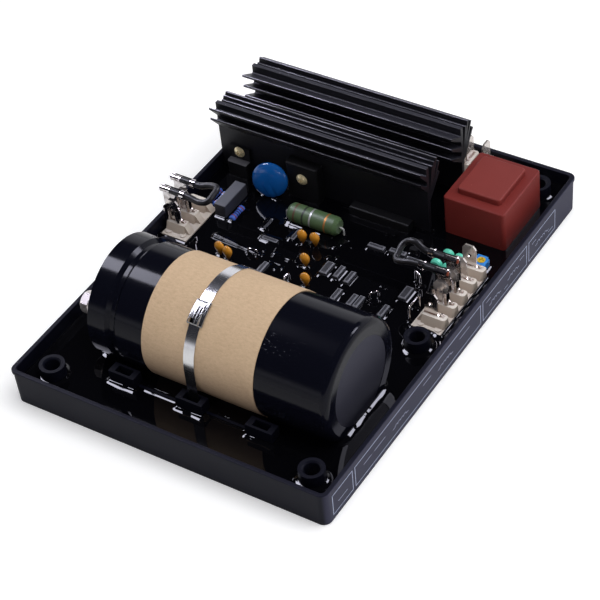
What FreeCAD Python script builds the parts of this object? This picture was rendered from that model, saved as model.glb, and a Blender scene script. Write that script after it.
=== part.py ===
# Automatic voltage regulator for a generator: an open moulded tray, filled with potting resin, that holds
# a strapped-down capacitor, two finned heat sinks, a transformer, terminal strips and small components.
# Millimetres. The origin is the centre of the tray's bottom face, +Z is up, +X is towards the tray's right
# side (the capacitor's axis lies along X) and +Y is towards the heat sinks.
import FreeCAD, Part
import math
import os
import Sketcher
from types import SimpleNamespace
from FreeCAD import Placement, Rotation, Vector

doc = FreeCAD.newDocument("VoltageRegulator")
sheet = doc.addObject("Spreadsheet::Sheet", "Sizes")

# Driving dimensions: alias, value, what it is
sizeTable = [
    # tray
    ("trayWidth", 150.0, "tray width over the rim, along X"),
    ("trayLength", 209.0, "tray length over the rim, along Y"),
    ("trayHeight", 17.0, "tray height"),
    ("trayWall", 2.0, "tray wall at the rim"),
    ("trayFloor", 2.5, "tray floor thickness"),
    ("trayCorner", 3.5, "outer corner radius"),
    ("trayDraft", 1.2, "mould draft of the outer walls, degrees"),
    ("rimBand", 1.4, "height of the band round the rim"),
    ("rimProud", 0.35, "how far the wall steps in below the band"),
    ("bossRadius", 5.4, "mounting boss radius"),
    ("boreRadius", 3.25, "mounting hole radius"),
    ("mouthRadius", 3.9, "chamfered mouth of a mounting hole"),
    ("bossTop", 16.0, "height of the bosses and loops"),
    ("bossSpacingX", 123.6, "mounting hole spacing along X"),
    ("bossFrontY", -92.5, "front pair of mounting holes"),
    ("bossMiddleY", -12.0, "middle pair of mounting holes"),
    ("bossBackY", 93.5, "back pair of mounting holes"),
    ("loopSpacing", 32.8, "spacing of the strap loops along X"),
    ("loopReach", 27.7, "strap loop centre from the capacitor's axis"),
    ("loopWidth", 12.3, "strap loop along X"),
    ("loopDepth", 5.5, "strap loop along Y"),
    ("slotWidth", 7.2, "slot of a strap loop along X"),
    ("slotDepth", 3.3, "slot of a strap loop along Y"),
    ("ribTop", 10.8, "height of the rib that joins the loops"),
    ("ribThickness", 1.2, "thickness of that rib"),
    ("moulded", 0.4, "small easing radius of the tray's rim"),
    # resin and board
    ("resinTop", 10.0, "level of the potting resin"),
    ("boardThickness", 1.6, "circuit board thickness"),
    ("boardRise", 1.5, "gap from tray floor to circuit board"),
    ("boardWidth", 142.0, "circuit board along X"),
    ("boardFront", -21.5, "front edge of the circuit board"),
    ("boardBack", 100.5, "back edge of the circuit board"),
    ("boardClearance", 1.0, "gap from circuit board to a boss"),
    # capacitor
    ("canRadius", 25.5, "capacitor can radius"),
    ("sleeveThickness", 0.4, "shrink sleeve thickness"),
    ("paperThickness", 0.3, "paper wrap thickness"),
    ("paperGap", 0.06, "gap between the paper and the sleeve"),
    ("canAxisY", -54.7, "capacitor axis"),
    ("canLeft", -50.0, "left end of the can's rim"),
    ("canRight", 62.2, "right end of the sleeved can"),
    ("paperLeft", -22.9, "left edge of the paper"),
    ("paperRight", 29.5, "right edge of the paper"),
    ("beadCentre", -38.6, "centre of the bead groove"),
    ("beadWidth", 5.2, "width of the bead groove"),
    ("beadDepth", 1.5, "depth of the bead groove"),
    ("shoulderRadius", 3.0, "rounded shoulder at the right end"),
    ("discRadius", 18.8, "opening of the sleeve at the right end"),
    ("deckRecess", 1.6, "deck below the curled rim"),
    ("deckThickness", 4.0, "thickness of the terminal deck"),
    ("canRimWidth", 1.6, "width of the can's rim around the deck"),
    ("canRimEase", 0.6, "rounding of the can's rim"),
    ("postEase", 0.8, "rounding of a terminal post"),
    ("terminalSpacing", 22.2, "spacing of the screw terminals"),
    ("terminalRadius", 6.4, "radius of a terminal post"),
    ("terminalHeight", 7.0, "height of a terminal post above the deck"),
    ("washerRadius", 6.0, "flat washer radius"),
    ("washerThickness", 1.1, "flat washer thickness"),
    ("springRadius", 4.6, "spring washer radius"),
    ("springThickness", 1.3, "spring washer thickness"),
    ("springSplit", 1.0, "split of the spring washer"),
    ("boltRadius", 2.5, "terminal bolt shank radius"),
    ("boltHeadRadius", 4.9, "terminal bolt head radius over its corners"),
    ("boltHeadHeight", 3.8, "terminal bolt head height"),
    ("boltDome", 6.4, "radius of the rounding over a bolt head"),
    ("boltDomeShift", 1.1, "centre of that rounding, below the head's face"),
    ("boltLength", 9.0, "terminal bolt shank length"),
    # strap
    ("strapWidth", 5.0, "steel strap width"),
    ("strapThickness", 0.45, "steel strap thickness"),
    ("strapRun", 0.8, "depth of the channel in the tray floor under the strap"),
    ("strapBend", 1.2, "inner bend radius of the strap"),
    ("strapGap", 0.02, "gap between the strap and what it lies on"),
    ("strapInset", 0.21, "strap leg from the inner side of its loop's slot"),
    ("strapDoor", 2.4, "height of the strap's way out under the middle loops' inner walls"),
    ("buckleLength", 12.2, "buckle along the strap"),
    ("buckleWidth", 6.6, "buckle width"),
    ("buckleHeight", 2.3, "buckle height above the paper at its middle"),
    ("buckleFlap", 0.6, "how far the buckle's flaps reach down past the paper's face"),
    ("buckleNose", 2.2, "slope at the buckle's nose"),
    ("buckleTail", 4.4, "slope at the buckle's tail"),
    ("buckleNoseDrop", 0.7, "how far the nose slopes down"),
    ("buckleTailDrop", 1.2, "how far the tail slopes down"),
    ("buckleWindow", 2.6, "locking window of the buckle, along the strap"),
    ("buckleEase", 0.45, "rounding of the buckle's upper edges"),
    ("buckleAngle", 33.6, "buckle in front of the capacitor's top, degrees"),
    # heat sinks
    ("sinkLeft", -72.8, "left end of the heat sinks"),
    ("sinkRight", 32.7, "right end of the heat sinks"),
    ("sinkTop", 45.2, "top of the heat sink plates"),
    ("plateThickness", 1.8, "heat sink plate thickness"),
    ("frontSinkY", 50.0, "front face of the front heat sink's plate"),
    ("backSinkY", 79.5, "front face of the back heat sink's plate"),
    ("finRoot", 2.7, "fin thickness at its root"),
    ("finTip", 1.1, "fin thickness at its tip"),
    ("finPitch", 5.5, "spacing of the front fins"),
    ("finReach", 5.0, "reach of the front heat sink's fins"),
    ("finRise", 5.6, "rise of the front heat sink's fins"),
    ("backFinReach", 8.0, "reach of the back heat sink's front fins"),
    ("backFinRise", 5.2, "rise of the back heat sink's front fins"),
    ("finTopRoot", 39.6, "middle of the top fin's root"),
    ("hubHeight", 27.6, "height of the hub that the rear blades fan from"),
    ("bladeRoot", 1.8, "blade thickness at the hub"),
    ("bladeTip", 1.0, "blade thickness at its tip"),
    ("rootFillet", 0.6, "fillet at the fin roots"),
    # power devices on the front heat sink
    ("smallDeviceX", -62.2, "middle of the small transistor"),
    ("largeDeviceX", -27.5, "middle of the large transistor"),
    ("deviceScrewHead", 2.7, "device screw head radius"),
    ("deviceScrewShank", 1.5, "device screw radius"),
    ("smallWidth", 10.2, "small transistor width"),
    ("smallLow", 3.0, "small transistor's moulded body, lower end above the board"),
    ("smallHigh", 12.4, "small transistor's moulded body, upper end above the board"),
    ("smallTab", 18.9, "small transistor's metal tab, upper end above the board"),
    ("smallDepth", 4.4, "small transistor depth"),
    ("smallTabDepth", 1.3, "small transistor's metal tab thickness"),
    ("smallScrewUp", 16.4, "small transistor's screw above the board"),
    ("smallPitch", 2.54, "lead spacing of the small transistor"),
    ("smallLeadGap", 1.9, "leads of the small transistor from the heat sink"),
    ("largeWidth", 15.8, "large transistor width"),
    ("largeLow", 3.4, "large transistor's body, lower end above the board"),
    ("largeHigh", 23.4, "large transistor's body, upper end above the board"),
    ("largeDepth", 5.0, "large transistor depth"),
    ("largeTabDepth", 2.0, "large transistor's metal back, thickness"),
    ("largeScrewUp", 16.0, "large transistor's screw above the board"),
    ("largePitch", 5.45, "lead spacing of the large transistor"),
    ("largeLeadGap", 2.2, "leads of the large transistor from the heat sink"),
    ("deviceLeadWidth", 0.8, "device lead width"),
    ("deviceLeadThickness", 0.5, "device lead thickness"),
    ("deviceBevel", 0.5, "bevel round a device's face"),
    ("crossLength", 2.8, "arm to arm of a screw's cross recess"),
    ("crossWidth", 0.6, "width of a cross recess"),
    ("crossDepth", 1.0, "depth of the device screws' cross recess"),
    ("moduleLeft", -4.6, "left end of the low power module"),
    ("moduleLength", 29.2, "low power module along X"),
    ("moduleDepth", 4.4, "low power module along Y"),
    ("moduleTop", 14.5, "top of the low power module"),
    ("moduleEase", 0.8, "rounding of the low power module's top edge"),
    # components on the board
    ("varistorX", -41.9, "varistor centre"),
    ("varistorY", 41.3, "varistor middle plane"),
    ("varistorZ", 19.2, "varistor centre height"),
    ("varistorRadius", 8.3, "varistor radius"),
    ("varistorThickness", 4.6, "varistor thickness"),
    ("varistorEdge", 1.3, "rounded edge of the varistor"),
    ("varistorLeadPitch", 5.2, "lead spacing of the varistor"),
    ("leadRadius", 0.4, "component lead radius"),
    ("leadBend", 1.2, "bend radius of a lead"),
    ("wattsX", -13.5, "power resistor centre"),
    ("wattsY", 31.9, "power resistor axis"),
    ("wattsZ", 14.6, "power resistor axis height"),
    ("wattsLength", 25.0, "power resistor length"),
    ("wattsRadius", 4.25, "power resistor radius"),
    ("filmX", -54.2, "film capacitor centre"),
    ("filmY", 27.8, "film capacitor centre"),
    ("filmWidth", 5.7, "film capacitor along X"),
    ("filmLength", 17.3, "film capacitor along Y"),
    ("filmTop", 17.0, "film capacitor top"),
    ("resistorRadius", 1.6, "small resistor radius at its ends"),
    ("resistorLength", 9.0, "small resistor length"),
    ("resistorZ", 10.8, "small resistor axis height"),
    ("dropRadius", 2.35, "drop capacitor bulb radius"),
    ("dropTop", 18.0, "drop capacitor top"),
    ("dropThickness", 3.2, "drop capacitor thickness"),
    ("dropLeadPitch", 2.0, "lead spacing of a drop capacitor"),
    ("discThickness", 2.6, "disc capacitor thickness"),
    ("discCapRadius", 2.6, "disc capacitor radius"),
    ("discTop", 14.2, "disc capacitor top"),
    ("discLeadPitch", 2.6, "lead spacing of a disc capacitor"),
    ("boxTop", 12.5, "top of the box capacitors"),
    ("boxLength", 7.2, "box capacitor length"),
    ("boxWidth", 2.4, "box capacitor width"),
    ("wideBoxWidth", 3.5, "wide box capacitor width"),
    ("boxBevel", 0.35, "bevel round the top of a box capacitor"),
    ("signalRadius", 1.7, "signal transistor radius"),
    ("signalPitch", 1.0, "lead spacing of a signal transistor"),
    ("signalUnder", 1.5, "gap from the board to a signal transistor"),
    ("linkRadius", 0.45, "wire link radius"),
    ("linkTop", 16.5, "wire link top"),
    ("trimmerX", 62.4, "trimmer screw axis"),
    ("trimmerY", 40.9, "trimmer screw axis"),
    ("trimmerSide", 5.8, "trimmer body side"),
    ("trimmerTop", 14.0, "trimmer body top"),
    ("rotorRadius", 1.75, "trimmer rotor radius"),
    ("rotorDepth", 2.2, "depth of the trimmer rotor in its body"),
    ("rotorGap", 0.06, "running gap round the trimmer rotor"),
    ("rotorProud", 0.25, "how far the rotor stands above the body"),
    ("rotorCross", 0.5, "depth of the rotor's cross recess"),
    ("trimmerNotch", 1.1, "corner notches of the trimmer body"),
    # transformer
    ("coilX", 52.0, "transformer centre"),
    ("coilY", 70.4, "transformer centre"),
    ("coilWidth", 29.0, "transformer along X"),
    ("coilLength", 33.4, "transformer along Y"),
    ("coilShoulder", 29.5, "transformer shoulder height"),
    ("coilLid", 3.0, "raised middle of the transformer"),
    ("coilMargin", 4.3, "shoulder round the raised middle, along X"),
    ("coilMarginY", 4.8, "shoulder round the raised middle, along Y"),
    ("coilCorner", 1.6, "transformer corner radius"),
    ("coilEase", 0.7, "rounding of the transformer's upper edges"),
    # terminal strips
    ("tabPitch", 8.14, "spacing of the tabs"),
    ("tabWidth", 6.35, "tab width"),
    ("tabThickness", 0.8, "tab thickness"),
    ("tabTop", 25.7, "tab top"),
    ("pinRise", 1.3, "bright pin beside a tab, above the ledge"),
    ("tabHoleRadius", 1.0, "tab hole radius"),
    ("tabHoleZ", 20.2, "tab hole height"),
    ("tabClip", 1.8, "clipped shoulder of a tab"),
    ("ledgeTop", 15.0, "ledge of a terminal strip"),
    ("ledgeWidth", 10.6, "ledge of a terminal strip across the strip"),
    ("ledgeFront", 2.3, "ledge in front of the tab"),
    ("ledgeBack", 1.4, "ledge behind the tab"),
    ("faceRun", 1.5, "slope of a bay's front face"),
    ("footTop", 11.0, "foot ledge of a terminal strip"),
    ("flankReach", 3.0, "flank of a terminal strip"),
    ("stepBack", 0.5, "slope behind a ledge"),
    ("stripCorner", 1.3, "outer corner radius of a strip"),
    ("stripRelief", 4.2, "gap from a boss to the strip that curves round it"),
    ("footReach", 6.4, "foot in front of the first tab"),
    ("lugRadius", 1.5, "round lug on the foot"),
    ("lugHeight", 0.45, "height of a lug above the foot"),
    ("rightStripX", 56.8, "inner edge of the right strip's ledge"),
    ("rightStripY", 3.0, "first tab of the right strip"),
    ("leftStripX", -61.5, "inner edge of the left strip's ledge"),
    ("leftStripY", 4.6, "first tab of the left strip"),
    ("backStripX", 34.4, "first tab of the back strip"),
    ("backStripY", 91.6, "inner edge of the back strip's ledge"),
    ("tabInset", 3.3, "tab centre from the ledge's inner edge"),
    # push-on receptacles and jumper wires
    ("sheetMetal", 0.5, "receptacle sheet thickness"),
    ("curlRadius", 1.55, "receptacle curl outer radius"),
    ("curlSpacing", 5.6, "spacing of the two curls"),
    ("curlTop", 21.8, "top of the curls"),
    ("curlLow", 15.4, "foot of the curls"),
    ("barrelZ", 32.3, "height of the crimp barrels' axis"),
    ("armOut", 4.4, "arm from the tab's middle to its outer edge"),
    ("armWidth", 3.0, "arm width"),
    ("armCorner", 1.6, "rounded corner at the arm's top"),
    ("plateInner", 0.9, "inner corner radius of the receptacle plate"),
    ("plateMiddle", 2.0, "end of the receptacle plate's wide part from the tab's middle"),
    ("crimpSeam", 0.24, "seam of a crimp barrel"),
    ("wireCrimpStart", -3.6, "outer end of the conductor crimp from the tab's middle"),
    ("wireCrimpLength", 4.8, "conductor crimp length"),
    ("grip", 2.1, "insulation crimp length"),
    ("gripEnd", 8.6, "inner end of the insulation crimp from the tab's middle"),
    ("wireRadius", 1.4, "jumper wire radius"),
    ("coreRadius", 0.95, "jumper wire conductor radius"),
    ("loopOut", 10.9, "reach of a jumper wire's loop past its crimp"),
]
for row, (alias, value, note) in enumerate(sizeTable, start=1):
    sheet.set(f"A{row}", alias)
    sheet.set(f"B{row}", str(value))
    sheet.setAlias(f"B{row}", alias)
    sheet.set(f"C{row}", note)
doc.recompute()


class Size:
    # A size knows its number and its formula over the sheet's cells, so it can be bound to a property
    def __init__(self, number, text):
        self.number = number
        self.text = text

    @staticmethod
    def of(value):
        if isinstance(value, Size):
            return value
        return Size(float(value), f"{float(value):.6f}")

    def __add__(self, other):
        other = Size.of(other)
        return Size(self.number + other.number, f"({self.text} + {other.text})")

    def __radd__(self, other):
        return Size.of(other) + self

    def __sub__(self, other):
        other = Size.of(other)
        return Size(self.number - other.number, f"({self.text} - {other.text})")

    def __rsub__(self, other):
        return Size.of(other) - self

    def __mul__(self, other):
        other = Size.of(other)
        return Size(self.number * other.number, f"({self.text} * {other.text})")

    def __rmul__(self, other):
        return Size.of(other) * self

    def __truediv__(self, other):
        other = Size.of(other)
        return Size(self.number / other.number, f"({self.text} / {other.text})")

    def __neg__(self):
        return Size(-self.number, f"(0 - {self.text})")


def num(value):
    return Size.of(value).number


def bind(thing, prop, value):
    thing.setExpression(prop, Size.of(value).text)


def place(thing, x=0, y=0, z=0, axis=None, angle=0):
    if axis is not None:
        thing.Placement = Placement(Vector(0, 0, 0), Rotation(Vector(*axis), num(angle)))
    for letter, value in (("x", x), ("y", y), ("z", z)):
        bind(thing, f"Placement.Base.{letter}", value)
    return thing


s = SimpleNamespace(**{alias: Size(float(getattr(sheet, alias)), f"Sizes.{alias}")
                       for alias, _, _ in sizeTable})
# The places in the table are measured in the tray as it is drawn. In a wider or longer tray the pieces beside
# a side wall move with that wall, and what stands behind the capacitor moves with the back wall.
drawnWidth = 150.0
drawnLength = 209.0
toRight = (s.trayWidth - drawnWidth) / 2
toLeft = -toRight
toBack = (s.trayLength - drawnLength) / 2
movedBack = ("bossMiddleY", "bossBackY", "boardBack", "frontSinkY", "backSinkY", "varistorY", "wattsY",
             "filmY", "trimmerY", "coilY", "rightStripY", "leftStripY", "backStripY")
movedRight = ("sinkRight", "trimmerX", "coilX", "rightStripX", "backStripX")
movedLeft = ("sinkLeft", "smallDeviceX", "varistorX", "filmX", "leftStripX")
for moved, shift in ((movedBack, toBack), (movedRight, toRight), (movedLeft, toLeft)):
    for alias in moved:
        setattr(s, alias, getattr(s, alias) + shift)
nodes = []


def node(thing, label):
    thing.Label = label
    nodes.append(thing)
    return thing


# Part primitives and booleans, bound to the sheet
def block(name, low, span):
    made = doc.addObject("Part::Box", name)
    for prop, value in zip(("Length", "Width", "Height"), span):
        bind(made, prop, value)
    return place(made, *low)


def rod(name, base, radius, height, axis=None, angle=0):
    made = doc.addObject("Part::Cylinder", name)
    bind(made, "Radius", radius)
    bind(made, "Height", height)
    return place(made, *base, axis=axis, angle=angle)


def rodX(name, base, radius, length):
    return rod(name, base, radius, length, axis=(0, 1, 0), angle=90)


def ball(name, centre, radius):
    made = doc.addObject("Part::Sphere", name)
    bind(made, "Radius", radius)
    return place(made, *centre)


def fuse(name, shapes):
    made = doc.addObject("Part::MultiFuse", name)
    made.Shapes = shapes
    return made


def cut(name, base, tool):
    made = doc.addObject("Part::Cut", name)
    made.Base = base
    made.Tool = tool
    return made


def common(name, shapes):
    made = doc.addObject("Part::MultiCommon", name)
    made.Shapes = shapes
    return made


def group(name, shapes):
    made = doc.addObject("Part::Compound", name)
    made.Links = shapes
    return made


def rounded(name, base, radius, wanted):
    # fillets the edges that the test picks
    doc.recompute()
    made = doc.addObject("Part::Fillet", name)
    made.Base = base
    picked = [index for index, edge in enumerate(base.Shape.Edges, start=1) if wanted(edge)]
    made.Edges = [(index, num(radius), num(radius)) for index in picked]
    return made


def bevelled(name, base, size, wanted):
    doc.recompute()
    made = doc.addObject("Part::Chamfer", name)
    made.Base = base
    picked = [index for index, edge in enumerate(base.Shape.Edges, start=1) if wanted(edge)]
    made.Edges = [(index, num(size), num(size)) for index in picked]
    return made


# Bodies with sketches whose corners and circles are bound to the sheet
def newBody(name):
    return doc.addObject("PartDesign::Body", name)


def sketchOn(body, role, lift=0):
    sketch = body.newObject("Sketcher::SketchObject", body.Name + "Sketch")
    plane = [datum for datum in body.Origin.OriginFeatures if datum.Role == role][0]
    sketch.AttachmentSupport = [(plane, "")]
    sketch.MapMode = "FlatFace"
    bind(sketch, "AttachmentOffset.Base.z", lift)
    return sketch


def drawOutline(sketch, points):
    # a closed line of straight edges, each corner bound by its two coordinates
    first = sketch.GeometryCount
    count = len(points)
    for index in range(count):
        start = Vector(num(points[index][0]), num(points[index][1]), 0)
        end = Vector(num(points[(index + 1) % count][0]), num(points[(index + 1) % count][1]), 0)
        sketch.addGeometry(Part.LineSegment(start, end))
    for index in range(count):
        following = first + (index + 1) % count
        sketch.addConstraint(Sketcher.Constraint("Coincident", first + index, 2, following, 1))
    for index, point in enumerate(points):
        for kind, value in zip(("DistanceX", "DistanceY"), point):
            tie = sketch.addConstraint(Sketcher.Constraint(kind, -1, 1, first + index, 1, num(value)))
            if isinstance(value, Size):
                bind(sketch, f"Constraints[{tie}]", value)


def drawCircle(sketch, centre, radius):
    middle = Vector(num(centre[0]), num(centre[1]), 0)
    index = sketch.addGeometry(Part.Circle(middle, Vector(0, 0, 1), num(radius)))
    for kind, value in zip(("DistanceX", "DistanceY"), centre):
        tie = sketch.addConstraint(Sketcher.Constraint(kind, -1, 1, index, 3, num(value)))
        if isinstance(value, Size):
            bind(sketch, f"Constraints[{tie}]", value)
    tie = sketch.addConstraint(Sketcher.Constraint("Radius", index, num(radius)))
    bind(sketch, f"Constraints[{tie}]", radius)


def rectangle(x0, y0, x1, y1):
    return [(x0, y0), (x1, y0), (x1, y1), (x0, y1)]


def centred(x, y, width, length):
    return rectangle(x - width / 2, y - length / 2, x + width / 2, y + length / 2)


def feature(body, kind, name, sketch, depth, taper=None, reverse=False):
    made = body.newObject(f"PartDesign::{kind}", body.Name + name)
    made.Profile = sketch
    made.Reversed = reverse
    bind(made, "Length", depth)
    if taper is not None:
        bind(made, "TaperAngle", taper)
    return made


def pad(body, role, outlines, depth, lift=0, taper=None, circles=(), name="Pad"):
    sketch = sketchOn(body, role, lift)
    for outline in outlines:
        drawOutline(sketch, outline)
    for centre, radius in circles:
        drawCircle(sketch, centre, radius)
    return feature(body, "Pad", name, sketch, depth, taper)


def pocket(body, role, outlines, depth, lift=0, circles=(), reverse=True, name="Pocket"):
    # cuts towards the plane's own normal, from the lifted sketch
    sketch = sketchOn(body, role, lift)
    for outline in outlines:
        drawOutline(sketch, outline)
    for centre, radius in circles:
        drawCircle(sketch, centre, radius)
    doc.recompute()
    return feature(body, "Pocket", name, sketch, depth, reverse=reverse)


def dressed(body, kind, size, wanted, name=None):
    # a PartDesign fillet or chamfer on the edges that the test picks
    doc.recompute()
    base = body.Tip
    picked = [f"Edge{index}" for index, edge in enumerate(base.Shape.Edges, start=1) if wanted(edge)]
    made = body.newObject(f"PartDesign::{kind}", body.Name + (name or kind))
    made.Base = (base, picked)
    bind(made, "Radius" if kind == "Fillet" else "Size", size)
    return made


def revolved(body, points, name="Turned"):
    # turns a half profile, given as distance along X and radius, about the X axis
    sketch = sketchOn(body, "XZ_Plane")
    drawOutline(sketch, points)
    made = body.newObject("PartDesign::Revolution", body.Name + name)
    made.Profile = sketch
    made.ReferenceAxis = (sketch, ["H_Axis"])
    made.Angle = 360
    return made


# Tests that pick edges by where they lie
def direction(edge):
    first, last = edge.Vertexes[0].Point, edge.Vertexes[-1].Point
    span = last - first
    return span.normalize() if span.Length > 1e-6 else Vector(0, 0, 0)


def along(edge, axis):
    straight = isinstance(edge.Curve, (Part.Line, Part.LineSegment))
    return straight and abs(direction(edge).dot(Vector(*axis))) > 0.999


def upright(edge):
    return along(edge, (0, 0, 1))


def levelAt(edge, height):
    return edge.BoundBox.ZLength < 1e-4 and abs(edge.BoundBox.ZMin - num(height)) < 1e-3


# Tray
halfWidth = s.trayWidth / 2
halfLength = s.trayLength / 2
canZ = s.trayFloor + s.canRadius + s.sleeveThickness + s.paperGap + s.paperThickness
loopRows = [s.canAxisY - s.loopReach, s.canAxisY + s.loopReach]
loopColumns = [-s.loopSpacing, Size.of(0), s.loopSpacing]
bossX = s.bossSpacingX / 2 + toRight
bossPlaces = [(side * bossX, y) for y in (s.bossFrontY, s.bossMiddleY, s.bossBackY) for side in (-1, 1)]
strapInner = s.canRadius + s.sleeveThickness + s.paperGap + s.paperThickness
strapOuter = strapInner + s.strapThickness


def makeTray():
    outer = newBody("trayOuter")
    stepIn = s.rimProud
    lowSpan = (s.trayWidth - 2 * stepIn, s.trayLength - 2 * stepIn)
    # the walls are drawn at the rim band and narrow downwards with the mould's draft
    sketch = sketchOn(outer, "XY_Plane", s.trayHeight - s.rimBand)
    drawOutline(sketch, centred(Size.of(0), Size.of(0), *lowSpan))
    feature(outer, "Pad", "Pad", sketch, s.trayHeight - s.rimBand, taper=-s.trayDraft, reverse=True)
    pad(outer, "XY_Plane", [centred(Size.of(0), Size.of(0), s.trayWidth, s.trayLength)], s.rimBand,
        lift=s.trayHeight - s.rimBand, name="Rim")
    dressed(outer, "Fillet", s.trayCorner, lambda edge: edge.BoundBox.ZLength > 1
            and edge.BoundBox.XLength < 1 and edge.BoundBox.YLength < 1)
    cavity = newBody("trayCavity")
    pad(cavity, "XY_Plane", [centred(Size.of(0), Size.of(0), s.trayWidth - 2 * s.trayWall,
                                     s.trayLength - 2 * s.trayWall)],
        s.trayHeight, lift=s.trayFloor)
    dressed(cavity, "Fillet", s.trayCorner - s.trayWall + s.rimProud, upright)
    shell = cut("trayShell", outer, cavity)
    tall = s.bossTop - s.trayFloor
    bosses = [rod("trayBoss", (x, y, s.trayFloor), s.bossRadius, tall) for x, y in bossPlaces]
    loops = []
    for y in loopRows:
        for x in loopColumns:
            loops.append(block("trayLoop", (x - s.loopWidth / 2, y - s.loopDepth / 2, s.trayFloor),
                               (s.loopWidth, s.loopDepth, tall)))
    ribs = [block("trayRib", (-s.loopSpacing, y - s.ribThickness / 2, s.trayFloor),
                  (2 * s.loopSpacing, s.ribThickness, s.ribTop - s.trayFloor)) for y in loopRows]
    solid = fuse("trayBlank", [shell] + bosses + loops + ribs)
    holes = []
    for x, y in bossPlaces:
        holes.append(rod("trayBore", (x, y, -1), s.boreRadius, s.trayHeight))
        mouth = doc.addObject("Part::Cone", "trayMouth")
        bind(mouth, "Radius1", s.boreRadius)
        bind(mouth, "Radius2", s.mouthRadius)
        bind(mouth, "Height", s.mouthRadius - s.boreRadius)
        holes.append(place(mouth, x, y, s.bossTop - (s.mouthRadius - s.boreRadius)))
    for y in loopRows:
        for x in loopColumns:
            holes.append(block("traySlot", (x - s.slotWidth / 2, y - s.slotDepth / 2, s.trayFloor),
                               (s.slotWidth, s.slotDepth, s.trayHeight)))
    channelReach = s.loopReach + s.slotDepth / 2
    # the strap passes under the capacitor in a channel, and under the middle loops' inner walls
    holes.append(block("trayChannel", (-s.slotWidth / 2, s.canAxisY - channelReach, s.trayFloor - s.strapRun),
                       (s.slotWidth, 2 * channelReach, s.strapRun + s.strapDoor)))
    return cavity, cut("trayOpened", solid, fuse("trayHoles", holes))


cavity, trayOpened = makeTray()
trayNode = rounded("tray", trayOpened, s.moulded, lambda edge: levelAt(edge, s.trayHeight)
                   and edge.BoundBox.DiagonalLength > 4)
node(trayNode, "tray")


# Circuit board, open round the bosses
def makeBoard():
    board = newBody("circuitBoard")
    low = s.trayFloor + s.boardRise
    half = s.boardWidth / 2
    pad(board, "XY_Plane", [rectangle(toLeft - half, s.boardFront, toRight + half, s.boardBack)],
        s.boardThickness, lift=low)
    openings = [((x, y), s.bossRadius + s.boardClearance) for x, y in bossPlaces[2:]]
    pocket(board, "XY_Plane", [], s.boardThickness, lift=low, circles=openings)
    return node(board, "circuit_board")


boardTop = s.trayFloor + s.boardRise + s.boardThickness
board = makeBoard()


# Capacitor: can, sleeve, paper, deck, terminals
def beadProfile(radius, fromX, toX):
    # the points of a turned outline that dips at the bead groove, from left to right
    half = s.beadWidth / 2
    dip = radius - s.beadDepth
    return [(fromX, radius), (s.beadCentre - half, radius), (s.beadCentre - half * 0.35, dip),
            (s.beadCentre + half * 0.35, dip), (s.beadCentre + half, radius), (toX, radius)]


deckFace = s.canLeft + s.deckRecess
canInner = s.canRadius - s.canRimWidth
canEnd = s.canRight - s.sleeveThickness


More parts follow.
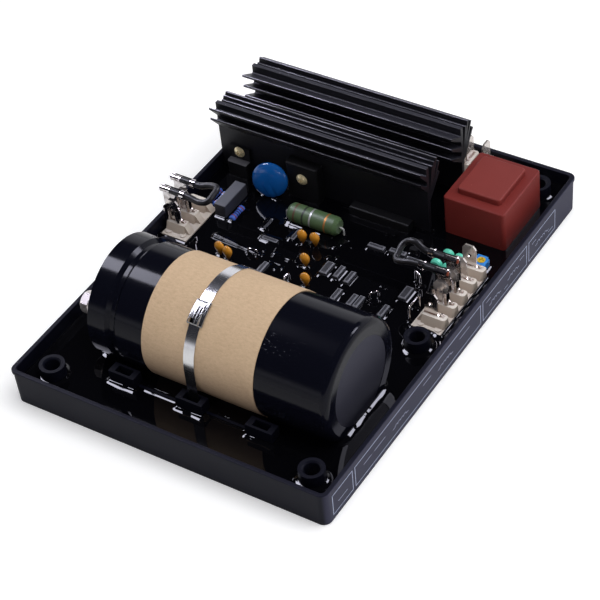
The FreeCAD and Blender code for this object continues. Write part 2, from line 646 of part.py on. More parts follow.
def makeCapacitor():
    zero = Size.of(0)
    can = newBody("capacitorCan")
    rim = s.canRadius
    left = s.canLeft + s.sleeveThickness
    # closed can: the deck sits in the open left end behind the curled rim
    revolved(can, [(deckFace + s.deckThickness, zero), (deckFace + s.deckThickness, canInner),
                   (left, canInner)] + beadProfile(rim, left, canEnd) + [(canEnd, zero)])
    dressed(can, "Fillet", s.shoulderRadius - s.sleeveThickness,
            lambda edge: edge.BoundBox.XLength < 1e-4 and abs(edge.BoundBox.XMin - num(canEnd)) < 1e-3)
    dressed(can, "Fillet", s.canRimEase, lambda edge: edge.BoundBox.XLength < 1e-4
            and abs(edge.BoundBox.XMin - num(left)) < 1e-3, name="Curl")
    node(place(can, 0, s.canAxisY, canZ), "capacitor_can")

    sleeve = newBody("capacitorSleeve")
    out = s.canRadius + s.sleeveThickness
    revolved(sleeve, beadProfile(out, left, s.canRight) + [(s.canRight, s.discRadius), (canEnd, s.discRadius)]
             + beadProfile(s.canRadius, left, canEnd)[::-1])
    across = 2 * num(s.canRadius)
    dressed(sleeve, "Fillet", s.shoulderRadius, lambda edge: edge.BoundBox.XLength < 1e-4
            and abs(edge.BoundBox.XMin - num(s.canRight)) < 1e-3 and edge.BoundBox.YLength > across)
    dressed(sleeve, "Fillet", s.shoulderRadius - s.sleeveThickness, lambda edge: edge.BoundBox.XLength < 1e-4
            and abs(edge.BoundBox.XMin - num(canEnd)) < 1e-3 and edge.BoundBox.YLength > across - 0.1,
            name="Inside")
    node(place(sleeve, 0, s.canAxisY, canZ), "capacitor_sleeve")

    disc = newBody("capacitorEndDisc")
    revolved(disc, [(canEnd, zero), (canEnd + s.sleeveThickness / 2, zero),
                    (canEnd + s.sleeveThickness / 2, s.discRadius), (canEnd, s.discRadius)])
    node(place(disc, 0, s.canAxisY, canZ), "capacitor_end_disc")

    paper = newBody("capacitorPaper")
    pad(paper, "YZ_Plane", [], s.paperRight - s.paperLeft, lift=s.paperLeft,
        circles=[((zero, zero), strapInner), ((zero, zero), out + s.paperGap)])
    node(place(paper, 0, s.canAxisY, canZ), "capacitor_paper_wrap")

    deck = newBody("capacitorDeck")
    pad(deck, "YZ_Plane", [], s.deckThickness, lift=deckFace, circles=[((zero, zero), canInner)])
    posts = [((side * s.terminalSpacing / 2, zero), s.terminalRadius) for side in (-1, 1)]
    pad(deck, "YZ_Plane", [], s.terminalHeight, lift=deckFace - s.terminalHeight, circles=posts, name="Posts")
    holes = [((side * s.terminalSpacing / 2, zero), s.boltRadius) for side in (-1, 1)]
    pocket(deck, "YZ_Plane", [], s.boltLength - s.washerThickness - s.springThickness,
           lift=deckFace - s.terminalHeight, circles=holes)
    dressed(deck, "Fillet", s.postEase, lambda edge: edge.BoundBox.XLength < 1e-4
            and abs(edge.BoundBox.XMin - num(deckFace - s.terminalHeight)) < 1e-3
            and edge.BoundBox.YLength > 3 * num(s.boltRadius))
    node(place(deck, 0, s.canAxisY, canZ), "capacitor_terminal_deck")


makeCapacitor()


def makeTerminalHardware():
    postFace = deckFace - s.terminalHeight
    headFace = postFace - s.washerThickness - s.springThickness
    washers = []
    bolts = []
    for side in (-1, 1):
        y = s.canAxisY + side * s.terminalSpacing / 2
        flat = rodX("flatWasher", (postFace - s.washerThickness, y, canZ), s.washerRadius, s.washerThickness)
        spring = rodX("springWasher", (headFace, y, canZ), s.springRadius, s.springThickness)
        both = fuse("washerPair", [flat, spring])
        hole = rodX("washerHole", (headFace, y, canZ), s.boltRadius, postFace - headFace)
        split = block("washerSplit", (headFace, y - s.springSplit / 2, canZ + s.boltRadius),
                      (s.springThickness, s.springSplit, s.springRadius))
        washers.append(cut("washerSet", both, fuse("washerOpenings", [hole, split])))
        prism = doc.addObject("Part::Prism", "boltHead")
        prism.Polygon = 6
        bind(prism, "Circumradius", s.boltHeadRadius)
        bind(prism, "Height", s.boltHeadHeight)
        place(prism, headFace - s.boltHeadHeight, y, canZ, axis=(0, 1, 0), angle=90)
        dome = ball("boltRounding", (headFace + s.boltDomeShift, y, canZ), s.boltDome)
        head = common("boltHeadRound", [prism, dome])
        shank = rodX("boltShank", (headFace, y, canZ), s.boltRadius, s.boltLength)
        bolts.append(fuse("terminalBolt", [head, shank]))
    node(group("terminalWashers", washers), "terminal_washers")
    node(group("terminalBolts", bolts), "terminal_bolts")


makeTerminalHardware()


# Steel strap round the capacitor and through the floor channel
def strapOutline(radius, leg, enter, low):
    # an arch over the capacitor, which it leaves at a tangent towards the loops' slots, upright legs from
    # where they enter the slots, and a bottom run
    tilt = math.acos(radius / math.hypot(leg, enter)) - math.atan2(-enter, leg)
    leaveY = radius * math.cos(tilt)
    leaveZ = radius * math.sin(tilt)
    edges = [Part.Arc(Vector(0, -leaveY, leaveZ), Vector(0, 0, radius), Vector(0, leaveY, leaveZ)).toShape()]
    points = [(leaveY, leaveZ), (leg, enter), (leg, low), (-leg, low), (-leg, enter), (-leaveY, leaveZ)]
    for first, last in zip(points[:-1], points[1:]):
        edges.append(Part.LineSegment(Vector(0, *first), Vector(0, *last)).toShape())
    return Part.Wire(edges)


def makeStrap():
    bottom = num(s.trayFloor - canZ - s.strapGap)
    thickness = num(s.strapThickness)
    leg = num(s.loopReach - s.slotDepth / 2 + s.strapInset)
    enter = num(s.bossTop - canZ)
    outerFace = Part.Face(strapOutline(num(strapOuter), leg + thickness, enter, bottom - thickness))
    innerFace = Part.Face(strapOutline(num(strapInner), leg, enter, bottom))
    loop = outerFace.cut(innerFace).extrude(Vector(num(s.strapWidth), 0, 0)).removeSplitter()
    corners = [edge for edge in loop.Edges if along(edge, (1, 0, 0)) and edge.BoundBox.ZMax < bottom + 0.5]
    outerCorners = [edge for edge in corners if abs(edge.BoundBox.YMin) > leg + thickness - 0.01]
    bend = num(s.strapBend)
    loop = loop.makeFillet(bend + thickness, outerCorners)
    innerCorners = [edge for edge in loop.Edges if along(edge, (1, 0, 0))
                    and abs(edge.BoundBox.ZMin - bottom) < 1e-3 and abs(abs(edge.BoundBox.YMin) - leg) < 1e-3]
    loop = loop.makeFillet(bend, innerCorners)
    strap = doc.addObject("Part::Feature", "strapBand")
    strap.Shape = loop
    place(strap, -s.strapWidth / 2, s.canAxisY, canZ)
    return node(strap, "strap_band")


strap = makeStrap()


def makeBuckle():
    # a folded saddle that sits over the strap: flaps down both sides, bevelled nose, a locking window
    zero = Size.of(0)
    buckle = newBody("strapBuckle")
    half = s.buckleLength / 2
    low = strapInner - s.buckleFlap
    top = strapInner + s.buckleHeight
    side = [(-half, low), (half, low), (half, top - s.buckleNoseDrop), (half - s.buckleNose, top),
            (-half + s.buckleTail, top), (-half, top - s.buckleTailDrop)]
    pad(buckle, "YZ_Plane", [side], s.buckleWidth, lift=-s.buckleWidth / 2)
    pocket(buckle, "YZ_Plane", [], s.buckleWidth, lift=-s.buckleWidth / 2,
           circles=[((zero, zero), strapInner + s.strapGap)], name="Seat")
    bay = s.strapWidth + 4 * s.strapGap
    pocket(buckle, "YZ_Plane", [], bay, lift=-bay / 2, circles=[((zero, zero), strapOuter + s.strapGap)],
           name="Channel")
    pocket(buckle, "XY_Plane", [centred(zero, -half + s.buckleTail * 0.75, s.strapWidth / 2, s.buckleWindow)],
           s.buckleHeight, lift=strapOuter + s.strapThickness, name="Window")
    dressed(buckle, "Fillet", s.buckleEase, lambda edge: along(edge, (0, 1, 0))
            and abs(edge.BoundBox.ZMin - num(top)) < 1e-3 and edge.BoundBox.YLength > 5)
    place(buckle, 0, s.canAxisY, canZ, axis=(1, 0, 0), angle=s.buckleAngle)
    return node(buckle, "strap_buckle")


buckle = makeBuckle()


# Heat sinks: one profile each, carried along X
def slantedFin(face, rootZ, reach, rise, side):
    # a fin that leaves the plate at rootZ, leans upwards and thins towards its tip
    halfRoot = s.finRoot / 2
    halfTip = s.finTip / 2
    tipY = face + side * reach
    return [(face - side * 0.5, rootZ - halfRoot), (face, rootZ - halfRoot), (tipY, rootZ + rise - halfTip),
            (tipY, rootZ + rise + halfTip), (face, rootZ + halfRoot), (face - side * 0.5, rootZ + halfRoot)]


def blade(hubY, hubZ, tipY, tipZ):
    # a thin blade from the hub to its tip, as thick across its length at each end as the sheet says
    runY = num(tipY) - num(hubY)
    runZ = num(tipZ) - num(hubZ)
    length = math.hypot(runY, runZ)
    acrossY = -runZ / length
    acrossZ = runY / length
    root = s.bladeRoot / 2
    tip = s.bladeTip / 2
    return [(hubY - root * acrossY, hubZ - root * acrossZ), (tipY - tip * acrossY, tipZ - tip * acrossZ),
            (tipY + tip * acrossY, tipZ + tip * acrossZ), (hubY + root * acrossY, hubZ + root * acrossZ)]


def makeSink(name, label, faceY, finCount, reach, rise, tips):
    sink = newBody(name)
    length = s.sinkRight - s.sinkLeft
    zero = Size.of(0)
    low = boardTop
    pad(sink, "YZ_Plane", [rectangle(zero, low, s.plateThickness, s.sinkTop)], length, lift=s.sinkLeft)
    for index in range(finCount):
        rootZ = s.finTopRoot - index * s.finPitch
        pad(sink, "YZ_Plane", [slantedFin(zero, rootZ, reach, rise, -1)], length, lift=s.sinkLeft,
            name=f"Fin{index}")
    hubY = s.plateThickness - 0.2
    for index, (tipY, tipZ) in enumerate(tips):
        pad(sink, "YZ_Plane", [blade(hubY, s.hubHeight, s.plateThickness + tipY, s.hubHeight + tipZ)], length,
            lift=s.sinkLeft, name=f"Blade{index}")
    roots = [num(s.finTopRoot - index * s.finPitch + side * s.finRoot / 2)
             for index in range(finCount) for side in (-1, 1)]
    dressed(sink, "Fillet", s.rootFillet, lambda edge: along(edge, (1, 0, 0))
            and abs(edge.BoundBox.YMin) < 1e-3
            and min(abs(edge.BoundBox.ZMin - root) for root in roots) < 1e-3)
    return node(place(sink, 0, faceY, 0), label)


frontTips = [(3.4, 15.7), (5.0, 16.9), (6.9, 17.7), (8.9, 14.4), (8.5, 9.0)]
backTips = [(2.9, 16.0), (4.9, 17.6), (7.2, 16.0), (8.6, 11.6)]
frontSink = makeSink("frontHeatSink", "front_heat_sink", s.frontSinkY, 2, s.finReach, s.finRise, frontTips)
backSink = makeSink("rearHeatSink", "rear_heat_sink", s.backSinkY, 3, s.backFinReach, s.backFinRise, backTips)


# Devices screwed to the front heat sink
def makeDevice(name, label, middle, width, low, high, tabHigh, depth, tabDepth, screwUp, leadPitch, leadGap):
    # a moulded body on a metal tab, three leads straight down into the board, one screw hole;
    # low, high, tabHigh and screwUp are heights above the board
    back = s.frontSinkY
    bodyLow = boardTop + low
    left = middle - width / 2
    shapes = [block(name + "Body", (left, back - depth, bodyLow), (width, depth, high - low)),
              block(name + "Tab", (left, back - tabDepth, bodyLow), (width, tabDepth, tabHigh - low))]
    for index in (-1, 0, 1):
        x = middle + index * leadPitch - s.deviceLeadWidth / 2
        shapes.append(block(name + "Lead", (x, back - leadGap - s.deviceLeadThickness, boardTop),
                            (s.deviceLeadWidth, s.deviceLeadThickness, low)))
    blank = fuse(name + "Blank", shapes)
    hole = rod(name + "Hole", (middle, back, boardTop + screwUp), s.deviceScrewShank, depth,
               axis=(1, 0, 0), angle=90)
    made = cut(name + "Holed", blank, hole)
    eased = bevelled(name, made, s.deviceBevel, lambda edge: edge.BoundBox.YMax < num(back - tabDepth) - 0.1
                     and abs(edge.BoundBox.YMin - num(back - depth)) < 1e-3
                     and edge.BoundBox.DiagonalLength > 6
                     and isinstance(edge.Curve, (Part.Line, Part.LineSegment)))
    return node(eased, label)


makeDevice("smallTransistor", "small_transistor", s.smallDeviceX, s.smallWidth, s.smallLow, s.smallHigh,
           s.smallTab, s.smallDepth, s.smallTabDepth, s.smallScrewUp, s.smallPitch, s.smallLeadGap)
makeDevice("largeTransistor", "large_transistor", s.largeDeviceX, s.largeWidth, s.largeLow, s.largeHigh,
           s.largeHigh, s.largeDepth, s.largeTabDepth, s.largeScrewUp, s.largePitch, s.largeLeadGap)


def makeDeviceScrews():
    # each screw: device centre, height above the board and how far its head stands off the heat sink
    seats = [(s.smallDeviceX, s.smallScrewUp, s.smallTabDepth),
             (s.largeDeviceX, s.largeScrewUp, s.largeDepth)]
    made = []
    for middle, up, depth in seats:
        face = s.frontSinkY - depth
        height = boardTop + up
        wide = s.deviceScrewHead
        shank = rod("screwShank", (middle, s.frontSinkY, height), s.deviceScrewShank, depth,
                    axis=(1, 0, 0), angle=90)
        disc = rod("screwDisc", (middle, face, height), wide, wide, axis=(1, 0, 0), angle=90)
        dome = ball("screwDome", (middle, face + wide * 0.75, height), wide * 1.3)
        head = common("screwHead", [disc, dome])
        recess = face - wide * 0.7
        slots = [block("screwSlot", (middle - long / 2, recess, height - tall / 2),
                       (long, s.crossDepth, tall))
                 for long, tall in ((s.crossLength, s.crossWidth), (s.crossWidth, s.crossLength))]
        made.append(cut("deviceScrew", fuse("screwSolid", [shank, head]), fuse("screwCross", slots)))
    node(group("deviceScrews", made), "device_screws")


makeDeviceScrews()


def makeModule():
    low = block("moduleBlock", (s.moduleLeft, s.frontSinkY - s.moduleDepth, boardTop),
                (s.moduleLength, s.moduleDepth, s.moduleTop - boardTop))
    return node(rounded("powerModule", low, s.moduleEase, lambda edge: along(edge, (1, 0, 0))
                        and edge.BoundBox.ZMin > num(s.moduleTop) - 0.01
                        and edge.BoundBox.YMax < num(s.frontSinkY) - 1), "low_power_module")


makeModule()


# Components that stand on the board
def lead(name, x, y, top):
    return rod(name, (x, y, boardTop), s.leadRadius, top - boardTop)


def makeVaristor():
    zero = Size.of(0)
    body = newBody("varistorDisc")
    half = s.varistorThickness / 2
    radius = s.varistorRadius
    sketch = sketchOn(body, "XY_Plane")
    drawOutline(sketch, [(zero, -half), (radius - 1, -half), (radius, -half + s.varistorEdge),
                         (radius, half - s.varistorEdge), (radius - 1, half), (zero, half)])
    made = body.newObject("PartDesign::Revolution", "varistorTurned")
    made.Profile = sketch
    made.ReferenceAxis = (sketch, ["V_Axis"])
    made.Angle = 360
    dressed(body, "Fillet", 0.6, lambda edge: edge.BoundBox.YLength < 1e-4 and edge.BoundBox.XLength > 10)
    place(body, s.varistorX, s.varistorY, s.varistorZ)
    feet = []
    for side in (-1, 1):
        x = s.varistorX + side * s.varistorLeadPitch / 2
        y = s.varistorY - s.varistorThickness * 0.28
        feet.append(rod("varistorLead", (x, y, boardTop), s.leadRadius, s.varistorZ - boardTop))
        feet.append(rod("varistorCoat", (x, y, s.varistorZ - radius - 0.4), s.leadRadius * 2, radius * 0.6))
    return node(fuse("varistor", [body] + feet), "varistor_disc")


makeVaristor()


def bentLead(name, endX, y, z, outward):
    # a lead that leaves a body's end along X, turns through a quarter bend and goes down to the board
    bend = num(s.leadBend)
    wire = num(s.leadRadius)
    start = num(endX)
    height = num(z)
    sign = outward
    run = 1.0
    first = Vector(start, num(y), height)
    second = Vector(start + sign * run, num(y), height)
    slant = bend * math.sin(math.pi / 4)
    middle = Vector(start + sign * (run + slant), num(y), height - bend + slant)
    third = Vector(start + sign * (run + bend), num(y), height - bend)
    last = Vector(start + sign * (run + bend), num(y), num(boardTop))
    path = Part.Wire([Part.LineSegment(first, second).toShape(), Part.Arc(second, middle, third).toShape(),
                      Part.LineSegment(third, last).toShape()])
    ring = Part.Wire(Part.Circle(first, Vector(1, 0, 0), wire).toShape())
    made = doc.addObject("Part::Feature", name)
    made.Shape = path.makePipeShell([ring], True, True)
    return made


def makePowerResistor():
    zero = Size.of(0)
    body = newBody("powerResistorBody")
    half = s.wattsLength / 2
    radius = s.wattsRadius
    revolved(body, [(-half, zero), (-half, radius * 0.72), (-half + 1.6, radius), (half - 1.6, radius),
                    (half, radius * 0.72), (half, zero)])
    dressed(body, "Fillet", 0.8, lambda edge: edge.BoundBox.XLength < 1e-4 and edge.BoundBox.YLength > 3)
    place(body, s.wattsX, s.wattsY, s.wattsZ)
    ends = [bentLead("powerResistorLead", s.wattsX + side * (half - 0.3), s.wattsY, s.wattsZ, side)
            for side in (-1, 1)]
    return node(fuse("powerResistor", [body] + ends), "power_resistor")


makePowerResistor()


def makeFilmCapacitor():
    box = block("filmBlock", (s.filmX - s.filmWidth / 2, s.filmY - s.filmLength / 2, boardTop),
                (s.filmWidth, s.filmLength, s.filmTop - boardTop))
    return node(rounded("filmCapacitor", box, 0.5, lambda edge: upright(edge)
                        or edge.BoundBox.ZMin > num(s.filmTop) - 0.01), "film_capacitor")


makeFilmCapacitor()


def makeSmallResistors():
    zero = Size.of(0)
    places = [(-64.1, 29.4), (-60.3, 28.2), (-48.6, 23.6)]
    for index, (x, y) in enumerate(places, start=1):
        body = newBody(f"smallResistor{index}")
        half = s.resistorLength / 2
        end = s.resistorRadius
        waist = end * 0.84
        revolved(body, [(-half, zero), (-half, end * 0.7), (-half + 0.5, end), (-half + 2.0, end),
                        (-half + 2.5, waist), (half - 2.5, waist), (half - 2.0, end), (half - 0.5, end),
                        (half, end * 0.7), (half, zero)])
        x += toLeft
        y += toBack
        place(body, x, y, s.resistorZ, axis=(0, 0, 1), angle=90)
        feet = [lead("resistorLead", x, y + side * (half - 0.6), s.resistorZ) for side in (-1, 1)]
        node(fuse(f"smallResistorSet{index}", [body] + feet), f"blue_resistor_{index}")


makeSmallResistors()


def makeDropCapacitors():
    zero = Size.of(0)
    places = [(-12.7, 20.2), (-6.9, 21.0), (-3.8, 8.1), (2.7, -2.2), (-40.6, -1.7), (-35.8, -2.8)]
    for index, (x, y) in enumerate(places, start=1):
        body = newBody(f"dropCapacitor{index}")
        radius = s.dropRadius
        centre = s.dropTop - radius
        # the coated drop: a round head that tapers to its two leads
        sketch = sketchOn(body, "XZ_Plane")
        drawOutline(sketch, [(zero, centre - radius - 3.4), (radius * 0.42, centre - radius - 3.2),
                             (radius * 0.62, centre - radius - 1.2), (radius * 0.93, centre - radius * 0.6),
                             (radius, centre), (radius * 0.87, centre + radius * 0.5),
                             (radius * 0.5, centre + radius * 0.87), (zero, s.dropTop)])
        made = body.newObject("PartDesign::Revolution", f"dropTurned{index}")
        made.Profile = sketch
        made.ReferenceAxis = (sketch, ["V_Axis"])
        made.Angle = 360
        y += toBack
        place(body, x, y, 0)
        slab = block("dropSlab", (x - radius, y - s.dropThickness / 2, 0),
                     (2 * radius, s.dropThickness, s.dropTop))
        flat = common("dropFlat", [body, slab])
        feet = [lead("dropLead", x + side * s.dropLeadPitch / 2, y, centre - radius * 0.5)
                for side in (-1, 1)]
        node(fuse(f"dropCapacitorSet{index}", [flat] + feet), f"drop_capacitor_{index}")


makeDropCapacitors()


def makeDiscCapacitors():
    places = [(47.2, 40.2), (45.5, 32.9), (51.1, 32.4), (52.9, 39.9)]
    zero = Size.of(0)
    for index, (x, y) in enumerate(places, start=1):
        body = newBody(f"discCapacitor{index}")
        half = s.discThickness / 2
        radius = s.discCapRadius
        sketch = sketchOn(body, "XY_Plane")
        drawOutline(sketch, [(zero, -half), (radius - 0.7, -half), (radius, -half + 0.7),
                             (radius, half - 0.7), (radius - 0.7, half), (zero, half)])
        made = body.newObject("PartDesign::Revolution", f"discTurned{index}")
        made.Profile = sketch
        made.ReferenceAxis = (sketch, ["V_Axis"])
        made.Angle = 360
        x += toRight
        y += toBack
        place(body, x, y, s.discTop - radius)
        feet = [lead("discLead", x + side * s.discLeadPitch / 2, y, s.discTop - radius) for side in (-1, 1)]
        node(fuse(f"discCapacitorSet{index}", [body] + feet), f"disc_capacitor_{index}")


makeDiscCapacitors()


def boxCapacitor(x, y, spanX, spanY, top):
    low = block("boxBlock", (x - spanX / 2, y + toBack - spanY / 2, boardTop), (spanX, spanY, top - boardTop))
    return bevelled("boxCapacitor", low, s.boxBevel, lambda edge: edge.BoundBox.ZMin > num(top) - 0.01)


def makeBoxCapacitors():
    # centre, then the height below or above the usual top
    lengthways = [(11.6, 10.2, 0), (17.3, 9.2, 0), (17.6, -2.3, 0), (25.3, -2.3, 0), (28.3, -2.0, 0),
                  (40.2, -2.1, 0), (-32.9, 24.2, -1.9), (-18.1, 23.3, -1.5), (-19.0, -1.9, 0)]
    wide = [(5.7, 10.0), (43.1, 11.4)]
    crosswise = [(17.6, 30.8, 0), (27.5, 31.8, 0), (36.7, 30.2, 0), (-26.6, 15.8, -1.5)]
    made = [boxCapacitor(x, y, s.boxWidth, s.boxLength, s.boxTop + rise) for x, y, rise in lengthways]
    made += [boxCapacitor(x, y, s.wideBoxWidth, s.boxLength + 0.4, s.boxTop) for x, y in wide]
    node(group("boxesLengthways", made), "box_capacitors_lengthways")
    made = [boxCapacitor(x, y, s.boxLength + 0.6, s.boxWidth, s.boxTop + rise) for x, y, rise in crosswise]
    node(group("boxesCrosswise", made), "box_capacitors_crosswise")
    # small transistors: a round back with one flat face
    cans = []
    for x, y in ((32.6, 36.1), (32.7, 41.0)):
        y += toBack
        under = boardTop + s.signalUnder
        wide = s.signalRadius * 2
        body = rod("signalBody", (x, y, under), s.signalRadius, s.boxTop - under)
        flat = block("signalFlat", (x - wide / 2, y - s.signalRadius * 1.6, under),
                     (wide, s.signalRadius, s.boxTop))
        feet = [lead("signalLead", x + step * s.signalPitch, y, under + s.signalUnder) for step in (-1, 0, 1)]
        cans.append(fuse("signalTransistor", [cut("signalShape", body, flat)] + feet))
    node(group("signalTransistors", cans), "signal_transistors")


makeBoxCapacitors()


# Round wire along a path of straight runs with tangent arcs
def roundedPath(points, largest=None):
    corners = [Vector(*[num(value) for value in point]) for point in points]
    edges = []
    start = corners[0]
    radii = []
    for index in range(1, len(corners) - 1):
        corner = corners[index]
        before = corners[index - 1] - corner
        after = corners[index + 1] - corner
        shorter = min(before.Length, after.Length)
        before.normalize()
        after.normalize()
        halfTurn = (math.pi - before.getAngle(after)) / 2
        trim = 0.45 * shorter
        radius = trim / math.tan(halfTurn)
        if largest is not None and radius > largest:
            radius = largest
            trim = radius * math.tan(halfTurn)
        radii.append(radius)
        first = corner + before * trim
        last = corner + after * trim
        inward = (before + after).normalize()
        middle = corner + inward * (radius / math.cos(halfTurn) - radius)
        edges.append(Part.LineSegment(start, first).toShape())
        edges.append(Part.Arc(first, middle, last).toShape())
        start = last
    edges.append(Part.LineSegment(start, corners[-1]).toShape())
    return Part.Wire(edges), radii


def roundWire(name, points, radius, largest=None):
    path, radii = roundedPath(points, largest)
    start = path.Edges[0].Vertexes[0].Point
    run = path.Edges[0].Vertexes[-1].Point - start
    ring = Part.Wire(Part.Circle(start, run, num(radius)).toShape())
    made = doc.addObject("Part::Feature", name)
    made.Shape = path.makePipeShell([ring], True, False)
    expected = path.Length * math.pi * num(radius) ** 2
    if abs(made.Shape.Volume / expected - 1) > 0.02:
        raise RuntimeError(f"{name} has volume {made.Shape.Volume:.1f}, not {expected:.1f}")
    return made, path.Length, radii


def makeWireLinks():
    # feet of each link and its top
    ends = [((-5.3, -6.3), (-5.3, -2.2), s.linkTop - 1.5), ((51.9, -1.0), (52.1, 7.1), s.linkTop + 1.5),
            ((42.1, 21.3), (45.6, 19.2), s.linkTop), ((-30.5, 4.5), (-26.4, 5.6), s.linkTop - 3.5),
            ((31.0, 2.6), (33.4, 5.8), s.linkTop - 2.5)]
    made = []
    for (x0, y0), (x1, y1), top in ends:
        nearWall = toRight if x0 > num(s.rightStripX) - 10 else 0
        first = (x0 + nearWall, y0 + toBack)
        last = (x1 + nearWall, y1 + toBack)
        path = [(*first, boardTop), (*first, top), (*last, top), (*last, boardTop)]
        wire, _, _ = roundWire("wireLink", path, s.linkRadius, largest=1.6)
        made.append(wire)
    node(group("wireLinks", made), "wire_links")


makeWireLinks()


# Trimmer: its screw turns in the body
def makeTrimmer():
    half = s.trimmerSide / 2
    blank = block("trimmerBlock", (s.trimmerX - half, s.trimmerY - half, boardTop),
                  (s.trimmerSide, s.trimmerSide, s.trimmerTop - boardTop))
    well = rod("trimmerWell", (s.trimmerX, s.trimmerY, s.trimmerTop - s.rotorDepth),
               s.rotorRadius + s.rotorGap, s.rotorDepth + 1)
    corner = s.trimmerNotch
    farX = s.trimmerX + half - corner
    farY = s.trimmerY + half - corner
    notches = [block("trimmerNotch", (farX, farY, s.resinTop - 1), (corner, corner, s.trimmerTop)),
               block("trimmerNotch", (s.trimmerX - half, s.trimmerY - half, s.trimmerTop - corner),
                     (corner, corner, corner))]
    node(cut("trimmerBody", blank, fuse("trimmerCuts", [well] + notches)), "trimmer_body")
    floor = s.trimmerTop - s.rotorDepth + s.rotorGap
    disc = rod("rotorDisc", (s.trimmerX, s.trimmerY, floor), s.rotorRadius,
               s.rotorDepth - s.rotorGap + s.rotorProud)
    arm = s.rotorRadius * 1.44
    low = s.trimmerTop + s.rotorProud - s.rotorCross
    slots = [block("rotorSlot", (s.trimmerX - wide / 2, s.trimmerY - deep / 2, low),
                   (wide, deep, s.rotorCross)) for wide, deep in ((arm, s.crossWidth), (s.crossWidth, arm))]
    node(cut("trimmerRotor", disc, fuse("rotorCross", slots)), "trimmer_rotor")


makeTrimmer()


def makeTransformer():
    coil = newBody("transformerBody")
    zero = Size.of(0)
    pad(coil, "XY_Plane", [centred(zero, zero, s.coilWidth, s.coilLength)], s.coilShoulder - boardTop,
        lift=boardTop)
    lid = centred(zero, zero, s.coilWidth - 2 * s.coilMargin, s.coilLength - 2 * s.coilMarginY)
    pad(coil, "XY_Plane", [lid], s.coilLid, lift=s.coilShoulder, name="Lid")
    dressed(coil, "Fillet", s.coilCorner, upright)

    def onShoulder(edge):
        # the shoulder's outer edges, and not those round the raised middle
        middle = edge.BoundBox.Center
        outside = num(s.coilWidth) / 2 - num(s.coilMargin) / 2
        return levelAt(edge, s.coilShoulder) and max(abs(middle.x), abs(middle.y)) > outside

    dressed(coil, "Fillet", s.coilEase, lambda edge: levelAt(edge, s.coilShoulder + s.coilLid)
            or onShoulder(edge), name="Top")
    return node(place(coil, s.coilX, s.coilY, 0), "transformer")


makeTransformer()


# Terminal strips: stepped mouldings, a ledge and a slanted face for each tab, gussets along one flank
def tabOutline(middle, width, low):
    half = width / 2
    clip = s.tabClip
    return [(middle - half, low), (middle + half, low), (middle + half, s.tabTop - clip),
            (middle + half - clip * 0.8, s.tabTop), (middle - half + clip * 0.8, s.tabTop),
            (middle - half, s.tabTop - clip)]


def makeTab(name, label, toward):
    # a clipped blade with a dimple hole, and a bright pin beside it on the side named by toward
    tab = newBody(name)
    zero = Size.of(0)
    low = boardTop + 0.6
    pad(tab, "XZ_Plane", [tabOutline(zero, s.tabWidth, low)], s.tabThickness, lift=-s.tabThickness / 2,
        circles=[((zero, s.tabHoleZ), s.tabHoleRadius)])
    inner = s.tabWidth / 2 - 0.2
    pinLow = s.curlSpacing / 2 + s.curlRadius + 0.15
    pinHigh = pinLow + 0.7
    shoulder = [(toward * inner, s.ledgeTop - 2), (toward * pinHigh, s.ledgeTop - 2),
                (toward * pinHigh, s.ledgeTop + s.pinRise), (toward * pinLow, s.ledgeTop + s.pinRise),
                (toward * pinLow, s.ledgeTop), (toward * inner, s.ledgeTop)]
    pad(tab, "XZ_Plane", [shoulder], s.tabThickness, lift=-s.tabThickness / 2, name="Shoulder")
    return node(tab, label)


def stripProfile(bays):
    # the strip seen along its width: foot, then a slanted face, a ledge and a step down for each tab
    points = [(-s.footReach, boardTop), (-s.footReach, s.footTop)]
    for index in range(bays):
        tabY = index * s.tabPitch
        points += [(tabY - s.ledgeFront - s.faceRun, s.footTop), (tabY - s.ledgeFront, s.ledgeTop),
                   (tabY + s.ledgeBack, s.ledgeTop), (tabY + s.ledgeBack + s.stepBack, s.footTop)]
    return points[:-1] + [((bays - 1) * s.tabPitch + s.ledgeBack + s.stepBack, boardTop)]


def makeStrip(name, bays, side, width, notchAt=None):
    strip = newBody(name)
    zero = Size.of(0)
    lift = zero if side > 0 else -width
    pad(strip, "YZ_Plane", [stripProfile(bays)], width, lift=lift)
    end = (bays - 1) * s.tabPitch + s.ledgeBack + s.stepBack
    # flank: a low rail along the strip and one gusset under each ledge
    rail = [(zero, boardTop), (-side * s.flankReach, boardTop), (-side * s.flankReach, s.footTop),
            (zero, s.footTop)]
    pad(strip, "XZ_Plane", [rail], end + s.footReach, lift=-end, name="Rail")
    for index in range(bays):
        front = index * s.tabPitch - s.ledgeFront
        gusset = [(zero, s.footTop - 0.6), (-side * s.flankReach, s.footTop - 0.6), (zero, s.ledgeTop)]
        run = s.ledgeFront + s.ledgeBack * 0.6
        pad(strip, "XZ_Plane", [gusset], run, lift=-(front + run), name=f"Gusset{index}")
    outer = num(width)
    dressed(strip, "Fillet", s.stripCorner, lambda edge: edge.BoundBox.ZLength > 3
            and edge.BoundBox.XLength < 1e-3 and abs(abs(edge.BoundBox.Center.x) - outer) < 1e-3
            and edge.BoundBox.YMax > -3)
    if notchAt is not None:
        pocket(strip, "XY_Plane", [], s.footTop, lift=boardTop - 0.5,
               circles=[(notchAt, s.bossRadius + s.stripRelief)], name="Arc")
    # lugs on the foot
    lugY = -s.footReach + 2.2
    pad(strip, "XY_Plane", [], s.lugHeight, lift=s.footTop,
        circles=[((side * 0.2, lugY + 0.5), s.lugRadius), ((side * (width - 2.2), lugY + 0.2), s.lugRadius)],
        name="Lugs")
    return strip


def placeTab(name, label, x, y, turned, toward):
    return place(makeTab(name, label, toward), x, y, 0, axis=(0, 0, 1), angle=90 if turned else 0)


